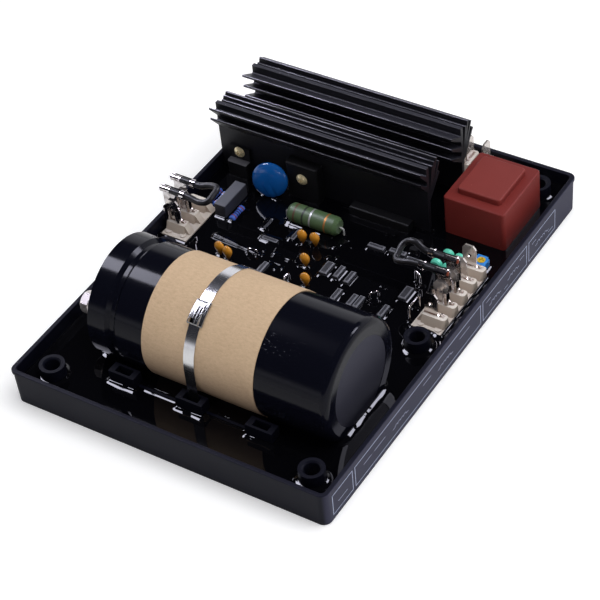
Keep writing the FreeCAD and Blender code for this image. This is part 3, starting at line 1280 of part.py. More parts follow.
def makeStrips():
    rightTabX = s.rightStripX + s.tabInset
    leftTabX = s.leftStripX - s.ledgeWidth + s.tabInset + 0.8
    tabs = [placeTab(f"rightTab{index + 1}", f"right_tab_{index + 1}", rightTabX,
                     s.rightStripY + index * s.tabPitch, False, 1) for index in range(5)]
    notch = (bossX - s.rightStripX, s.bossMiddleY - s.rightStripY)
    strip = makeStrip("rightStripBody", 5, 1, s.ledgeWidth, notch)
    place(strip, s.rightStripX, s.rightStripY, 0)
    node(cut("rightStrip", strip, fuse("rightTabSlots", tabs)), "right_terminal_strip")
    tabs = [placeTab(f"leftTab{index + 1}", f"left_tab_{index + 1}", leftTabX,
                     s.leftStripY + index * s.tabPitch, False, 1) for index in range(2)]
    notch = (-bossX - s.leftStripX, s.bossMiddleY - s.leftStripY)
    strip = makeStrip("leftStripBody", 3, -1, s.ledgeWidth - 0.9, notch)
    place(strip, s.leftStripX, s.leftStripY, 0)
    node(cut("leftStrip", strip, fuse("leftTabSlots", tabs)), "left_terminal_strip")
    tabs = [placeTab(f"backTab{index + 1}", f"back_tab_{index + 1}", s.backStripX - index * s.tabPitch,
                     s.backStripY + s.tabInset + 2.6, True, -1) for index in range(2)]
    strip = makeStrip("backStripBody", 2, 1, s.ledgeWidth)
    place(strip, s.backStripX, s.backStripY, 0, axis=(0, 0, 1), angle=90)
    node(cut("backStrip", strip, fuse("backTabSlots", tabs)), "back_terminal_strip")
    return rightTabX, leftTabX


rightTabX, leftTabX = makeStrips()


# Push-on receptacles: a web behind the tab, two curls round its edges, an arm up to two crimp barrels
wireY = s.tabThickness / 2 - s.wireRadius
gripStart = s.gripEnd - s.grip


def makeReceptacle(name, label, tabX, tabY, inward):
    back = s.tabThickness / 2
    shapes = []

    def spanX(a, b):
        # low end and length of a stretch from a to b, measured inwards from the tab's middle
        return (tabX + a, b - a) if inward > 0 else (tabX - b, b - a)

    x, length = spanX(-s.curlSpacing / 2, s.curlSpacing / 2)
    height = s.curlTop - s.curlLow
    shapes.append(block(name + "Web", (x, tabY + back, s.curlLow), (length, s.sheetMetal, height)))
    for side in (-1, 1):
        centreX = tabX + side * s.curlSpacing / 2
        centreY = tabY + back + s.sheetMetal - s.curlRadius
        ring = cut(name + "Ring", rod(name + "RingOut", (centreX, centreY, s.curlLow), s.curlRadius, height),
                   rod(name + "RingIn", (centreX, centreY, s.curlLow - 1), s.curlRadius - s.sheetMetal,
                       height + 2))
        # the curl is open where the tab's edge goes in
        edge = (s.tabWidth - s.curlSpacing) / 2 + 0.05
        span = s.curlRadius + 1
        low = centreX + edge - span if side > 0 else centreX - edge
        slot = block(name + "CurlGap", (low, tabY - back, s.curlLow - 1), (span, s.tabThickness, height + 2))
        shapes.append(cut(name + "Curl", ring, slot))
    plate = newBody(name + "Plate")
    rise = s.curlTop - 1.0
    wide = s.tabTop - 0.8
    topZ = s.barrelZ + s.wireRadius * 0.55
    sign = inward
    lowZ = s.barrelZ - s.wireRadius * 0.75
    outline = [(-s.armOut, rise), (-s.armOut + s.armWidth, rise), (-s.armOut + s.armWidth, wide),
               (s.plateMiddle, wide), (s.plateMiddle, lowZ), (s.gripEnd, lowZ), (s.gripEnd, topZ),
               (-s.armOut, topZ)]
    outline = [(sign * across, up) for across, up in outline]
    pad(plate, "XZ_Plane", [outline], s.sheetMetal, lift=-(back + s.sheetMetal))
    cornerX = num(s.armOut)
    dressed(plate, "Fillet", s.armCorner, lambda edge: along(edge, (0, 1, 0))
            and abs(edge.BoundBox.Center.x + sign * cornerX) < 1e-3
            and edge.BoundBox.Center.z > num(topZ) - 1e-3)
    dressed(plate, "Fillet", s.plateInner, lambda edge: along(edge, (0, 1, 0))
            and abs(edge.BoundBox.Center.z - num(wide)) < 1e-3
            and abs(abs(edge.BoundBox.Center.x) - num(s.plateMiddle)) < 1e-3,
            name="Corner")
    shapes.append(place(plate, tabX, tabY, 0))
    axisY = tabY + wireY
    crimps = ((s.wireCrimpStart, s.wireCrimpLength, s.coreRadius), (gripStart, s.grip, s.wireRadius))
    for start, span, inner in crimps:
        x, length = spanX(start, start + span)
        start = (x, axisY, s.barrelZ)
        ring = cut(name + "Barrel", rodX(name + "BarrelOut", start, inner + s.sheetMetal, length),
                   rodX(name + "BarrelIn", start, inner, length))
        seam = block(name + "Seam", (x, axisY - inner - s.sheetMetal * 2, s.barrelZ - s.crimpSeam / 2),
                     (length, s.sheetMetal * 3, s.crimpSeam))
        shapes.append(cut(name + "BarrelSplit", ring, seam))
    return node(fuse(name, shapes), label)


def makeJumper(name, label, tabX, firstY, inward, lifts):
    # one black lead from barrel to barrel: straight in the crimps, then a loop as wide as the tabs are apart
    lowY = firstY + wireY
    highY = firstY + s.tabPitch + wireY
    start = s.wireCrimpStart + s.wireCrimpLength + 0.2
    out = s.gripEnd
    swell = 0.7
    leave = out + s.loopOut * 0.26
    widest = out + s.loopOut * 0.66
    route = [(start, lowY, 0), (leave, lowY, 0), (widest, lowY - swell, lifts[0]),
             (out + s.loopOut + 1.0, lowY - swell * 0.3, lifts[1]),
             (out + s.loopOut + 1.4, highY + swell * 0.4, lifts[2]),
             (widest, highY + swell, lifts[3]), (leave, highY, 0), (start, highY, 0)]
    points = [(tabX + inward * x, y, s.barrelZ + z) for x, y, z in route]
    cord, length, radii = roundWire(name + "Cord", points, s.wireRadius)
    print(label, f"length {length:.1f}", "radii", [round(radius, 1) for radius in radii])
    cores = []
    for y in (lowY, highY):
        low = s.wireCrimpStart - 0.5
        x = tabX + low if inward > 0 else tabX - start
        cores.append(rodX(name + "Core", (x, y, s.barrelZ), s.coreRadius, start - low))
    return node(fuse(name, [cord] + cores), label)


for index in range(2):
    makeReceptacle(f"rightReceptacle{index + 1}", f"right_receptacle_{index + 1}", rightTabX,
                   s.rightStripY + (index + 1) * s.tabPitch, -1)
    makeReceptacle(f"leftReceptacle{index + 1}", f"left_receptacle_{index + 1}", leftTabX,
                   s.leftStripY + index * s.tabPitch, 1)
makeJumper("rightJumper", "right_jumper_wire", rightTabX, s.rightStripY + s.tabPitch, -1,
           (-0.8, -2.4, 0.6, 3.2))
makeJumper("leftJumper", "left_jumper_wire", leftTabX, s.leftStripY, 1, (-0.6, 0.6, 2.6, 1.6))


# Potting resin fills the tray to its level round everything that stands in it
def makeResin():
    slab = block("resinSlab", (-halfWidth, -halfLength, 0), (s.trayWidth, s.trayLength, s.resinTop))
    filled = common("resinFill", [cavity, slab])
    # the tray's bosses, loops and ribs are left out whole, so no resin stands inside them
    room = s.resinTop + 1
    cores = [rod("resinCore", (x, y, 0), s.bossRadius, room) for x, y in bossPlaces]
    for y in loopRows:
        cores.append(block("resinRib", (-s.loopSpacing, y - s.ribThickness / 2, 0),
                           (2 * s.loopSpacing, s.ribThickness, room)))
        for x in loopColumns:
            cores.append(block("resinLoop", (x - s.loopWidth / 2, y - s.loopDepth / 2, 0),
                               (s.loopWidth, s.loopDepth, room)))
    standing = [thing for thing in nodes if thing.Label not in ("tray", "strap_band")
                and thing.Shape.BoundBox.ZMin < num(s.resinTop)]
    opened = cut("resinRoom", filled, fuse("resinCores", cores))
    return node(cut("pottingResin", opened, fuse("embedded", standing)), "potting_resin")


doc.recompute()
makeResin()


doc.recompute()
problems = [thing.Name for thing in doc.Objects if "Invalid" in thing.State or "Error" in thing.State]
for thing in nodes:
    if thing.Shape.isNull() or not thing.Shape.isValid():
        problems.append(thing.Label)
if problems:
    raise RuntimeError("these did not build: " + ", ".join(problems))
os.makedirs("parts", exist_ok=True)
for thing in nodes:
    thing.Shape.exportStep(os.path.join("parts", thing.Label + ".step"))
print(len(nodes), "nodes written")
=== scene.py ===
# Looks of a generator's voltage regulator: potted tray, strapped capacitor, heat sinks, terminals
import bpy
import math
import numpy as np
from mathutils import Matrix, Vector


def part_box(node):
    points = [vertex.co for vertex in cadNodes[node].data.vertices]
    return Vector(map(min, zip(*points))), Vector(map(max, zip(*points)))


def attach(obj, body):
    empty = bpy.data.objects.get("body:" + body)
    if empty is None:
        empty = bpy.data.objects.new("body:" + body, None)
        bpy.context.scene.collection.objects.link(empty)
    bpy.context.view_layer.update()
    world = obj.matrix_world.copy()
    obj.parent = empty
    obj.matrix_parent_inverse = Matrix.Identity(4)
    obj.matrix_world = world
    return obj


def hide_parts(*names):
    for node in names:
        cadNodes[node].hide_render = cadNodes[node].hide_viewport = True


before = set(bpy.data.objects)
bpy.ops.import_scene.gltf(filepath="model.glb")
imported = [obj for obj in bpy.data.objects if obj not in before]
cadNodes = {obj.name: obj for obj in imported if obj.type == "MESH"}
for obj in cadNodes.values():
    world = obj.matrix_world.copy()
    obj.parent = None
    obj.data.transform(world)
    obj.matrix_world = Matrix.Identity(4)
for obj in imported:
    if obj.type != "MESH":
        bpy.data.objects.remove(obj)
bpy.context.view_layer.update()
mm = 0.001
print("frame loaded:", len(cadNodes), "nodes")


def boxOf(name):
    # the lowest and highest corner of a CAD node, in millimetres
    low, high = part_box(name)
    return np.array(low) * 1000, np.array(high) * 1000


def cornersOf(name):
    # the corners of a CAD node in millimetres, and its triangles
    mesh = cadNodes[name].data
    points = np.empty(len(mesh.vertices) * 3)
    mesh.vertices.foreach_get("co", points)
    mesh.calc_loop_triangles()
    corners = np.empty(len(mesh.loop_triangles) * 3, np.int32)
    mesh.loop_triangles.foreach_get("vertices", corners)
    return points.reshape(-1, 3) * 1000, corners.reshape(-1, 3)


# Shaders: sums on a Value read as sums, and every other node comes from Finish.add
class Value:
    def __init__(self, nodes, socket):
        self.nodes = nodes
        self.socket = socket

    def maths(self, operation, *terms):
        return self.nodes.add("ShaderNodeMath", {"operation": operation}, dict(enumerate(terms)))

    def __add__(self, other):
        return self.maths("ADD", self, other)

    def __sub__(self, other):
        return self.maths("SUBTRACT", self, other)

    def __rsub__(self, other):
        return self.maths("SUBTRACT", other, self)

    def __mul__(self, other):
        return self.maths("MULTIPLY", self, other)

    def __truediv__(self, other):
        return self.maths("DIVIDE", self, other)

    def __pow__(self, other):
        return self.maths("POWER", self, other)

    __radd__ = __add__
    __rmul__ = __mul__


class Nodes:
    # a node tree and the one method that fills it
    def __init__(self, tree):
        self.tree = tree
        self.tree.nodes.clear()

    def add(self, kind, settings, inputs, output=0):
        made = self.tree.nodes.new(kind)
        for name, setting in settings.items():
            if name == "stops":
                self.setStops(made.color_ramp, setting)
            else:
                setattr(made, name, setting)
        for key, value in inputs.items():
            self.feed(made.inputs[key], value)
        return Value(self, made.outputs[output]) if made.outputs else None

    def feed(self, socket, value):
        if isinstance(value, Value):
            self.tree.links.new(value.socket, socket)
        else:
            socket.default_value = value

    def setStops(self, ramp, stops):
        while len(ramp.elements) < len(stops):
            ramp.elements.new(0.5)
        for element, (position, colour) in zip(ramp.elements, stops):
            element.position = position
            element.color = (*colour, 1) if len(colour) == 3 else colour

    def mix(self, factor, first, second):
        inputs = {0: factor, 6: colour(first), 7: colour(second)}
        return self.add("ShaderNodeMix", {"data_type": "RGBA"}, inputs, 2)

    def ramp(self, value, *stops):
        return self.add("ShaderNodeValToRGB", {"stops": stops}, {0: value})


class Finish(Nodes):
    # one material, and the patterns that several finishes share
    def __init__(self, name):
        self.material = bpy.data.materials.new(name)
        self.material.use_nodes = True
        super().__init__(self.material.node_tree)
        self.shader = self.tree.nodes.new("ShaderNodeBsdfPrincipled")
        output = self.tree.nodes.new("ShaderNodeOutputMaterial")
        self.tree.links.new(self.shader.outputs[0], output.inputs[0])
        self.place = self.add("ShaderNodeTexCoord", {}, {}, "Object")

    def axes(self):
        # x, y and z of the object, in millimetres
        parted = self.tree.nodes.new("ShaderNodeSeparateXYZ")
        self.feed(parted.inputs[0], self.place)
        return [Value(self, socket) * 1000 for socket in parted.outputs]

    def noise(self, size, detail=3, rough=0.5, stretch=(1, 1, 1)):
        # size is the width of a patch in millimetres
        scale = tuple(1000 / (size * part) for part in stretch)
        mapped = self.add("ShaderNodeMapping", {"vector_type": "POINT"}, {0: self.place, 3: scale})
        inputs = {"Vector": mapped, "Scale": 1.0, "Detail": detail, "Roughness": rough}
        return self.add("ShaderNodeTexNoise", {}, inputs)

    def cells(self, size):
        # how far the nearest of many scattered points is; size is their spacing in millimetres
        return self.add("ShaderNodeTexVoronoi", {}, {"Vector": self.place, "Scale": 1000 / size})

    def step(self, value, low, high, start=0.0, end=1.0):
        # start below low, end above high, and a smooth way between
        inputs = {0: value, 1: low, 2: high, 3: start, 4: end}
        return self.add("ShaderNodeMapRange", {"interpolation_type": "SMOOTHSTEP"}, inputs)

    def under(self, value, low, high):
        # one below low, none above high
        return self.step(value, low, high, 1.0, 0.0)

    def size(self, value):
        return self.add("ShaderNodeMath", {"operation": "ABSOLUTE"}, {0: value})

    def facing(self, axis):
        # one part of the surface's direction: 0 right, 1 back, 2 up
        normal = self.add("ShaderNodeNewGeometry", {}, {}, "Normal")
        return self.add("ShaderNodeSeparateXYZ", {}, {0: normal}, axis)

    def bump(self, height, depth, strength):
        # depth is in millimetres
        inputs = {"Height": height, "Distance": depth * mm, "Strength": strength}
        return self.add("ShaderNodeBump", {}, inputs)

    def done(self, **inputs):
        for name, value in inputs.items():
            self.feed(self.shader.inputs[socketNames[name]], value)
        return self.material


socketNames = {"base": "Base Color", "roughness": "Roughness", "metallic": "Metallic", "normal": "Normal",
               "coat": "Coat Weight", "specular": "Specular IOR Level", "glow": "Emission Color",
               "glowStrength": "Emission Strength"}


def colour(value):
    return (*value, 1.0) if isinstance(value, tuple) and len(value) == 3 else value


def linear(red, green, blue):
    # a colour as an eye reads it, 0 to 255, as the light that it stands for
    return tuple(((part / 255 + 0.055) / 1.055) ** 2.4 if part > 10 else part / 255 / 12.92
                 for part in (red, green, blue))


# Finishes
def mottled(name, pattern, first, second, roughness, rougher=0.0, dents=None, metallic=0.0):
    # one pattern of noise between two colours, which may also roughen and dent the surface
    finish = Finish(name)
    cloud = finish.noise(*pattern)
    inputs = {"normal": finish.bump(cloud, *dents)} if dents else {}
    return finish.done(base=finish.mix(cloud, linear(*first), linear(*second)), metallic=metallic,
                       roughness=roughness + cloud * rougher if rougher else roughness, **inputs)


def resinBody():
    return mottled("resinBody", (18, 2), (7, 7, 9), (11, 11, 13), 0.06, dents=(0.04, 0.3))


def trayPlastic():
    # satin black with a blue cast; painted light: the outside facing right and the rim's top are lighter
    look = {"base": linear(14, 15, 27), "painted_light_and_wear": linear(56, 56, 76), "roughness": 0.38, "wall": (70, 73),
            "rim": (16.3, 17.0)}
    finish = Finish("trayPlastic")
    x, _, z = finish.axes()
    grain = finish.noise(0.5, 2)
    cloud = finish.noise(22, 3)
    scuffs = finish.step(finish.noise(3.0, 4, 0.6, (6, 1, 1)), 0.62, 0.72)
    # painted light: the outside wall that faces right is lighter, as lit from the right
    painted_right_light = finish.step(finish.facing(0), 0.4, 0.9) * finish.step(x, *look["wall"])
    # painted highlight: lighter along the top of the rim
    edge = finish.step(z, *look["rim"])
    base = finish.mix(edge * 0.12 + scuffs * 0.06 + painted_right_light * 0.75, look["base"], look["painted_light_and_wear"])
    return finish.done(base=base, roughness=look["roughness"] + cloud * 0.12 + grain * 0.06, specular=0.12,
                       normal=finish.bump(grain, 0.03, 0.35))


def resinGloss():
    # black and mirror smooth, with a slow swell and a little dust
    look = {"base": linear(5, 5, 8), "roughness": 0.03}
    finish = Finish("resinGloss")
    swell = finish.noise(30, 2)
    dust = finish.step(finish.noise(0.7, 2, 0.7), 0.78, 0.84)
    base = finish.mix(dust * 0.04, look["base"], linear(150, 150, 162))
    return finish.done(base=base, specular=0.36, roughness=look["roughness"] + dust * 0.1,
                       normal=finish.bump(swell, 0.05, 0.3))


def sleeveFilm():
    # shrink sleeve: satin blue-black, a few long scratches, dust with painted glints beside the paper
    look = {"base": linear(11, 12, 21), "roughness": 0.13, "dust_glint": linear(150, 150, 165), "paperEdge": 29.5,
            "dustFrom": (46.0, 48.0), "dustTo": (50.5, 52.5), "dustFront": (-58, -64)}
    finish = Finish("sleeveFilm")
    x, y, z = finish.axes()
    ripple = finish.noise(14, 3, 0.5, (2.5, 1, 1))
    scratch = finish.step(finish.noise(1.4, 4, 0.65, (9, 1, 1)), 0.66, 0.72)
    near = finish.under(x, look["paperEdge"] + 1, look["paperEdge"] + 20)
    near = near * finish.step(x, look["paperEdge"] - 2, look["paperEdge"])
    band = finish.step(z, *look["dustFrom"]) * finish.under(z, *look["dustTo"])
    band = band * finish.step(y, *look["dustFront"])
    # dust and painted highlight: pale specks in a band beside the paper, where light glints
    dust = finish.step(finish.noise(0.8, 4, 0.75, (2.2, 1, 1)), 0.6, 0.7) * near * band
    base = finish.mix(dust * 0.5 + scratch * 0.02, look["base"], look["dust_glint"])
    return finish.done(base=base, roughness=look["roughness"] + scratch * 0.1 + dust * 0.3, specular=0.14,
                       normal=finish.bump(ripple, 0.05, 0.35))


def discCard():
    # the can's dark end: painted light makes it paler toward the top; a blue-grey haze, dim specks in its
    # middle
    look = {"base": linear(22, 22, 32), "haze": linear(52, 52, 68), "speck": linear(120, 122, 134),
            "painted_top_light": (12, 48), "speckReach": (15, 18)}
    finish = Finish("discCard")
    _, y, z = finish.axes()
    middle = sum(boxOf("capacitor_end_disc")) / 2
    away = ((y - middle[1]) ** 2 + (z - middle[2]) ** 2) ** 0.5
    marks = finish.under(finish.cells(1.3), 0.0, 0.13) * finish.step(finish.noise(8, 2), 0.46, 0.6)
    marks = marks * finish.under(away, *look["speckReach"])
    haze = finish.noise(16, 4, 0.6)
    # painted light: paler toward the top of the end
    painted_top_light = finish.step(z, *look["painted_top_light"])
    base = finish.mix(painted_top_light * 0.55 + haze * 0.15, look["base"], look["haze"])
    base = finish.mix(marks * 0.4, base, look["speck"])
    return finish.done(base=base, roughness=0.42 + haze * 0.15, specular=0.25,
                       normal=finish.bump(marks * 0.5 + finish.noise(0.8, 2), 0.04, 0.4))


def kraftPaper():
    # brown paper, its fibres along the can, with creases where the buckle's upper end pinches it
    look = {"base": linear(214, 186, 152), "dark": linear(172, 142, 112), "fleck": linear(112, 88, 64),
            "painted_low_shade": linear(100, 78, 68), "crease": linear(232, 212, 180), "paintedShadeHeight": (10, 42),
            "pinch": 2.0, "creaseWide": 0.4, "creaseFrom": (3, 4), "creaseTo": (4, 10)}
    finish = Finish("kraftPaper")
    x, y, z = finish.axes()
    low, high = boxOf("strap_buckle")
    pinchX = (low[0] + high[0]) / 2
    pinchY = high[1] - look["pinch"]
    fibres = finish.noise(0.9, 4, 0.72, (2.2, 1, 1))
    weave = finish.noise(0.34, 3, 0.6, (1.6, 1, 1))
    fleck = finish.step(finish.noise(0.55, 3, 0.7, (2.4, 1, 1)), 0.68, 0.8)
    cloud = finish.noise(16, 3)
    base = finish.mix(cloud * 0.3 + finish.step(fibres, 0.3, 0.75) * 0.35, look["base"], look["dark"])
    base = finish.mix(fleck * 0.6 + finish.step(weave, 0.5, 0.75) * 0.2, base, look["fleck"])
    # painted shade: the paper darker and greyer toward the bottom of the can
    painted_low_shade = finish.under(z, *look["paintedShadeHeight"])
    base = finish.mix(painted_low_shade * 0.65, base, look["painted_low_shade"])
    crease = 0.0
    for side, tilt in ((-1, 0.28), (1, 0.2)):
        off = finish.size(y - pinchY - (x - pinchX) * (side * tilt))
        out = (x - pinchX) * side
        line = finish.under(off, 0.0, look["creaseWide"]) * finish.step(out, *look["creaseFrom"])
        crease = line * finish.under(out, *look["creaseTo"]) + crease
    base = finish.mix(crease * 0.25, base, look["crease"])
    return finish.done(base=base, roughness=0.8, specular=0.3,
                       normal=finish.bump(fibres + weave * 0.5 + fleck * 0.5 + crease * 3, 0.06, 0.5))


def brushedSteel(name, light, dark, roughness):
    # drawn along the strap, so the lines run round the can
    finish = Finish(name)
    lines = finish.noise(0.16, 3, 0.6, (1, 40, 40))
    stain = finish.noise(7, 3)
    base = finish.mix(stain * 0.4 + lines * 0.3, linear(light, light, light), linear(dark, dark, dark))
    return finish.done(base=base, metallic=1.0, roughness=roughness + lines * 0.1 + stain * 0.05,
                       normal=finish.bump(lines, 0.02, 0.25))


def zincSteel():
    finish = Finish("zincSteel")
    cloud = finish.noise(2.5, 3)
    base = finish.mix(cloud, linear(236, 230, 228), linear(196, 188, 182))
    return finish.done(base=base, metallic=0.9, roughness=0.24 + cloud * 0.1,
                       normal=finish.bump(finish.noise(0.5, 2), 0.02, 0.3))


def tinnedBrass():
    # receptacles and links: bright tin, faintly stained
    finish = Finish("tinnedBrass")
    stain = finish.noise(2.2, 3, 0.55)
    dents = finish.noise(1.3, 1)
    base = finish.mix(finish.step(stain, 0.35, 0.75), linear(228, 224, 224), linear(176, 168, 164))
    return finish.done(base=base, metallic=1.0, roughness=0.06 + stain * 0.06,
                       normal=finish.bump(dents, 0.16, 0.5))


def tabMetal():
    # tinned blades with faint stains; the front one is the cleanest mirror
    finish = Finish("tabMetal")
    y = finish.axes()[1]
    front = min(boxOf(name)[1][1] for name in cadNodes if name.startswith("right_tab_"))
    bright = finish.under(y, front + 1, front + 3)
    stain = finish.noise(3.2, 3, 0.55)
    fine = finish.noise(0.5, 3, 0.6, (1, 1, 4))
    base = finish.mix(stain, linear(246, 240, 236), linear(214, 204, 196))
    return finish.done(base=base, metallic=0.7 + bright * 0.3, roughness=0.1 + stain * 0.08,
                       normal=finish.bump(fine, 0.01, 0.3))


def anodised():
    # black extrusion: drawn lines along it; painted light on upward faces, with small dings and dust
    look = {"base": linear(15, 15, 20), "edge": linear(74, 74, 86)}
    finish = Finish("anodised")
    lines = finish.noise(0.5, 3, 0.6, (60, 1, 1))
    long = finish.noise(2.2, 3, 0.5, (22, 1, 1))
    ding = finish.step(finish.noise(1.0, 3, 0.7, (2.5, 1, 1)), 0.67, 0.72)
    upward = finish.step(finish.facing(2), 0.35, 0.95)
    # painted light: upward faces lighter, as lit from above
    base = finish.mix(upward * 0.35 + lines * 0.12, look["base"], look["edge"])
    base = finish.mix(ding * upward * 0.7, base, linear(185, 185, 192))
    return finish.done(base=base, metallic=0.15, roughness=0.34 + long * 0.14, specular=0.35,
                       normal=finish.bump(lines, 0.03, 0.4))


def deviceEpoxy():
    # black epoxy; the step of the small transistor is painted light grey, as lit from above
    look = {"base": linear(13, 13, 15), "dull": linear(26, 26, 30), "painted_light_and_wear": linear(92, 92, 98),
            "stepTop": (21, 22)}
    finish = Finish("deviceEpoxy")
    grain = finish.noise(0.3, 2)
    cloud = finish.noise(6, 3)
    x, _, z = finish.axes()
    smallEnd = boxOf("small_transistor")[1][0]
    # painted light: the upward faces of the small transistor's step are lighter grey
    painted_light_and_wear = finish.under(x, smallEnd, smallEnd + 1) * finish.step(finish.facing(2), 0.4, 0.8)
    painted_light_and_wear = painted_light_and_wear * finish.under(z, *look["stepTop"])
    base = finish.mix(cloud * 0.6 + grain * 0.3, look["base"], look["dull"])
    base = finish.mix(painted_light_and_wear * 0.8, base, look["painted_light_and_wear"])
    return finish.done(base=base, roughness=0.4 + grain * 0.1, specular=0.3,
                       normal=finish.bump(grain, 0.04, 0.4))


def varistorCoat():
    # dipped blue coat, gathered in a fold low on its left, painted darker along the fold as shade
    finish = Finish("varistorCoat")
    middle = sum(boxOf("varistor_disc")) / 2
    x, _, z = finish.axes()
    dip = finish.noise(4.5, 2)
    patch = finish.noise(7, 3)
    across = x - (middle[0] - 1.5) + (z - middle[2]) * 0.5
    fold = finish.under(finish.size(across), 0.0, 0.8) * finish.under(z, middle[2], middle[2] + 2)
    # painted shade along the fold; the patches are the coat's own uneven tone
    base = finish.mix(patch * 0.6 + fold * 0.4, linear(20, 98, 178), linear(10, 62, 128))
    return finish.done(base=base, roughness=0.16, coat=0.4, normal=finish.bump(dip + fold * 0.5, 0.25, 0.3))


def resistorCoat():
    # green cement body with rings: brown, black, silver and copper, each slightly wavy
    rings = {"brown": (0.15, linear(92, 56, 44)), "black": (0.33, linear(22, 22, 24)),
             "silver": (0.475, linear(190, 190, 192)), "copper": (0.775, linear(196, 132, 74))}
    finish = Finish("resistorCoat")
    low, high = boxOf("power_resistor")
    lead = 2.5
    wave = finish.noise(6, 2)
    along = (finish.axes()[0] - (low[0] + lead)) / (high[0] - low[0] - 2 * lead) + (wave - 0.5) * 0.03
    cloud = finish.noise(5, 3)
    base = finish.mix(cloud * 0.5, linear(80, 104, 70), linear(58, 82, 50))
    metal = 0.0
    for name, (where, tint) in rings.items():
        mask = finish.under(finish.size(along - where), 0.014, 0.02)
        base = finish.mix(mask * 0.9, base, tint)
        if name in ("silver", "copper"):
            metal = mask * 0.6 + metal
    body = finish.step(along, -0.03, 0.0) * finish.under(along, 1.0, 1.03)
    base = finish.mix(body, linear(170, 170, 172), base)
    return finish.done(base=base, metallic=metal, roughness=0.5 - 0.1 * cloud,
                       normal=finish.bump(cloud, 0.12, 0.4))


def blueResistor(node):
    # metal film resistor: five rings across a glossy blue body
    finish = Finish("blueResistor")
    low, high = boxOf(node)
    along = (finish.axes()[1] - low[1]) / (high[1] - low[1])
    base = finish.mix(finish.noise(1.5, 2) * 0.5, linear(78, 112, 205), linear(54, 84, 176))
    rings = ((0.18, linear(112, 52, 62)), (0.36, linear(36, 34, 70)), (0.5, linear(30, 28, 56)),
             (0.64, linear(40, 38, 84)), (0.82, linear(122, 62, 66)))
    for where, tint in rings:
        mask = finish.under(finish.size(along - where), 0.035, 0.05)
        base = finish.mix(mask * 0.85, base, tint)
    return finish.done(base=base, roughness=0.22, coat=0.4)


def filmBox():
    finish = Finish("filmBox")
    grain = finish.noise(0.35, 3)
    # painted light: the top paler and the sides darker, as lit from above
    base = finish.mix(finish.step(finish.facing(2), 0.4, 0.9), linear(46, 47, 56), linear(84, 86, 97))
    return finish.done(base=finish.mix(grain * 0.15, base, linear(110, 112, 122)), roughness=0.5,
                       normal=finish.bump(grain, 0.05, 0.5))


def boxPlastic():
    # grey boxes: painted light, tops pale and sides darker
    finish = Finish("boxPlastic")
    grain = finish.noise(0.4, 3)
    base = finish.mix(finish.step(finish.facing(2), 0.4, 0.9), linear(50, 51, 59), linear(124, 125, 136))
    return finish.done(base=finish.mix(grain * 0.3, base, linear(70, 71, 80)), roughness=0.4 + grain * 0.15,
                       normal=finish.bump(grain, 0.05, 0.5))


def dropCoat():
    # orange, with painted shade darker toward the resin
    look = {"low": linear(120, 72, 24), "high": linear(208, 142, 44), "cloud": linear(176, 112, 32),
            "height": (10.5, 14.0)}
    finish = Finish("dropCoat")
    cloud = finish.noise(2.5, 2)
    base = finish.mix(finish.step(finish.axes()[2], *look["height"]), look["low"], look["high"])
    base = finish.mix(cloud * 0.35, base, look["cloud"])
    return finish.done(base=base, roughness=0.22, coat=0.3, normal=finish.bump(cloud, 0.12, 0.3))


def stripNylon():
    # cream moulding: tops painted paler as lit, rosier low down, a brown line of flux in front of each tab
    look = {"side": linear(206, 192, 178), "sideDark": linear(184, 168, 154), "top": linear(228, 221, 214),
            "topDark": linear(204, 192, 180), "flux": linear(104, 62, 30), "foot": linear(136, 116, 108),
            "footHeight": (10.4, 14.0)}
    finish = Finish("stripNylon")
    x, y, z = finish.axes()
    grain = finish.noise(0.5, 3)
    cloud = finish.noise(5, 3)
    upward = finish.step(finish.facing(2), 0.3, 0.9)
    flux = 0.0
    for name in cadNodes:
        if "_tab_" not in name:
            continue
        low, high = boxOf(name)
        middle, half = (low + high) / 2, (high - low) / 2
        near = finish.under(finish.size(x - middle[0]), half[0], half[0] + 1.2)
        near = near * finish.under(finish.size(y - middle[1]), half[1] + 0.1, half[1] + 0.8)
        flux = near + flux
    flux = flux * finish.step(finish.noise(1.2, 3), 0.3, 0.55) * upward
    base = finish.mix(cloud * 0.5 + grain * 0.15, look["side"], look["sideDark"])
    # painted light: tops take a paler copy of the colour, sides a darker one, as lit from above
    base = finish.mix(upward, base, finish.mix(cloud * 0.4, look["top"], look["topDark"]))
    base = finish.mix(flux, base, look["flux"])
    base = finish.mix(finish.under(z, *look["footHeight"]) * 0.3, base, look["foot"])
    return finish.done(base=base, roughness=0.34 + cloud * 0.12, coat=0.2,
                       normal=finish.bump(grain, 0.05, 0.35))


def wireInsulation():
    finish = Finish("wireInsulation")
    cloud = finish.noise(3, 3)
    mark = finish.step(finish.noise(0.8, 3, 0.6), 0.66, 0.74)
    base = finish.mix(cloud * 0.5 + mark * 0.3, linear(11, 11, 15), linear(26, 26, 32))
    return finish.done(base=base, roughness=0.36 + cloud * 0.12, normal=finish.bump(cloud, 0.05, 0.3))


def brickPotting():
    # red-brown potting box with pale specks, and a painted highlight: paler toward the top of its raised
    # middle
    look = {"base": linear(126, 47, 43), "dark": linear(104, 37, 34), "edge": linear(176, 92, 84),
            "speck": linear(205, 150, 140), "raised": (31.4, 32.3)}
    finish = Finish("brickPotting")
    grain = finish.noise(0.35, 3, 0.6)
    cloud = finish.noise(9, 3)
    speck = finish.under(finish.cells(5.0), 0.0, 0.045)
    # painted highlight: the top of the raised middle is paler
    edge = finish.step(finish.axes()[2], *look["raised"])
    base = finish.mix(cloud * 0.6 + grain * 0.2, look["base"], look["dark"])
    base = finish.mix(edge * 0.12, base, look["edge"])
    base = finish.mix(speck * 0.6, base, look["speck"])
    return finish.done(base=base, roughness=0.42 + grain * 0.16, specular=0.15,
                       normal=finish.bump(grain + cloud * 0.4, 0.05, 0.4))


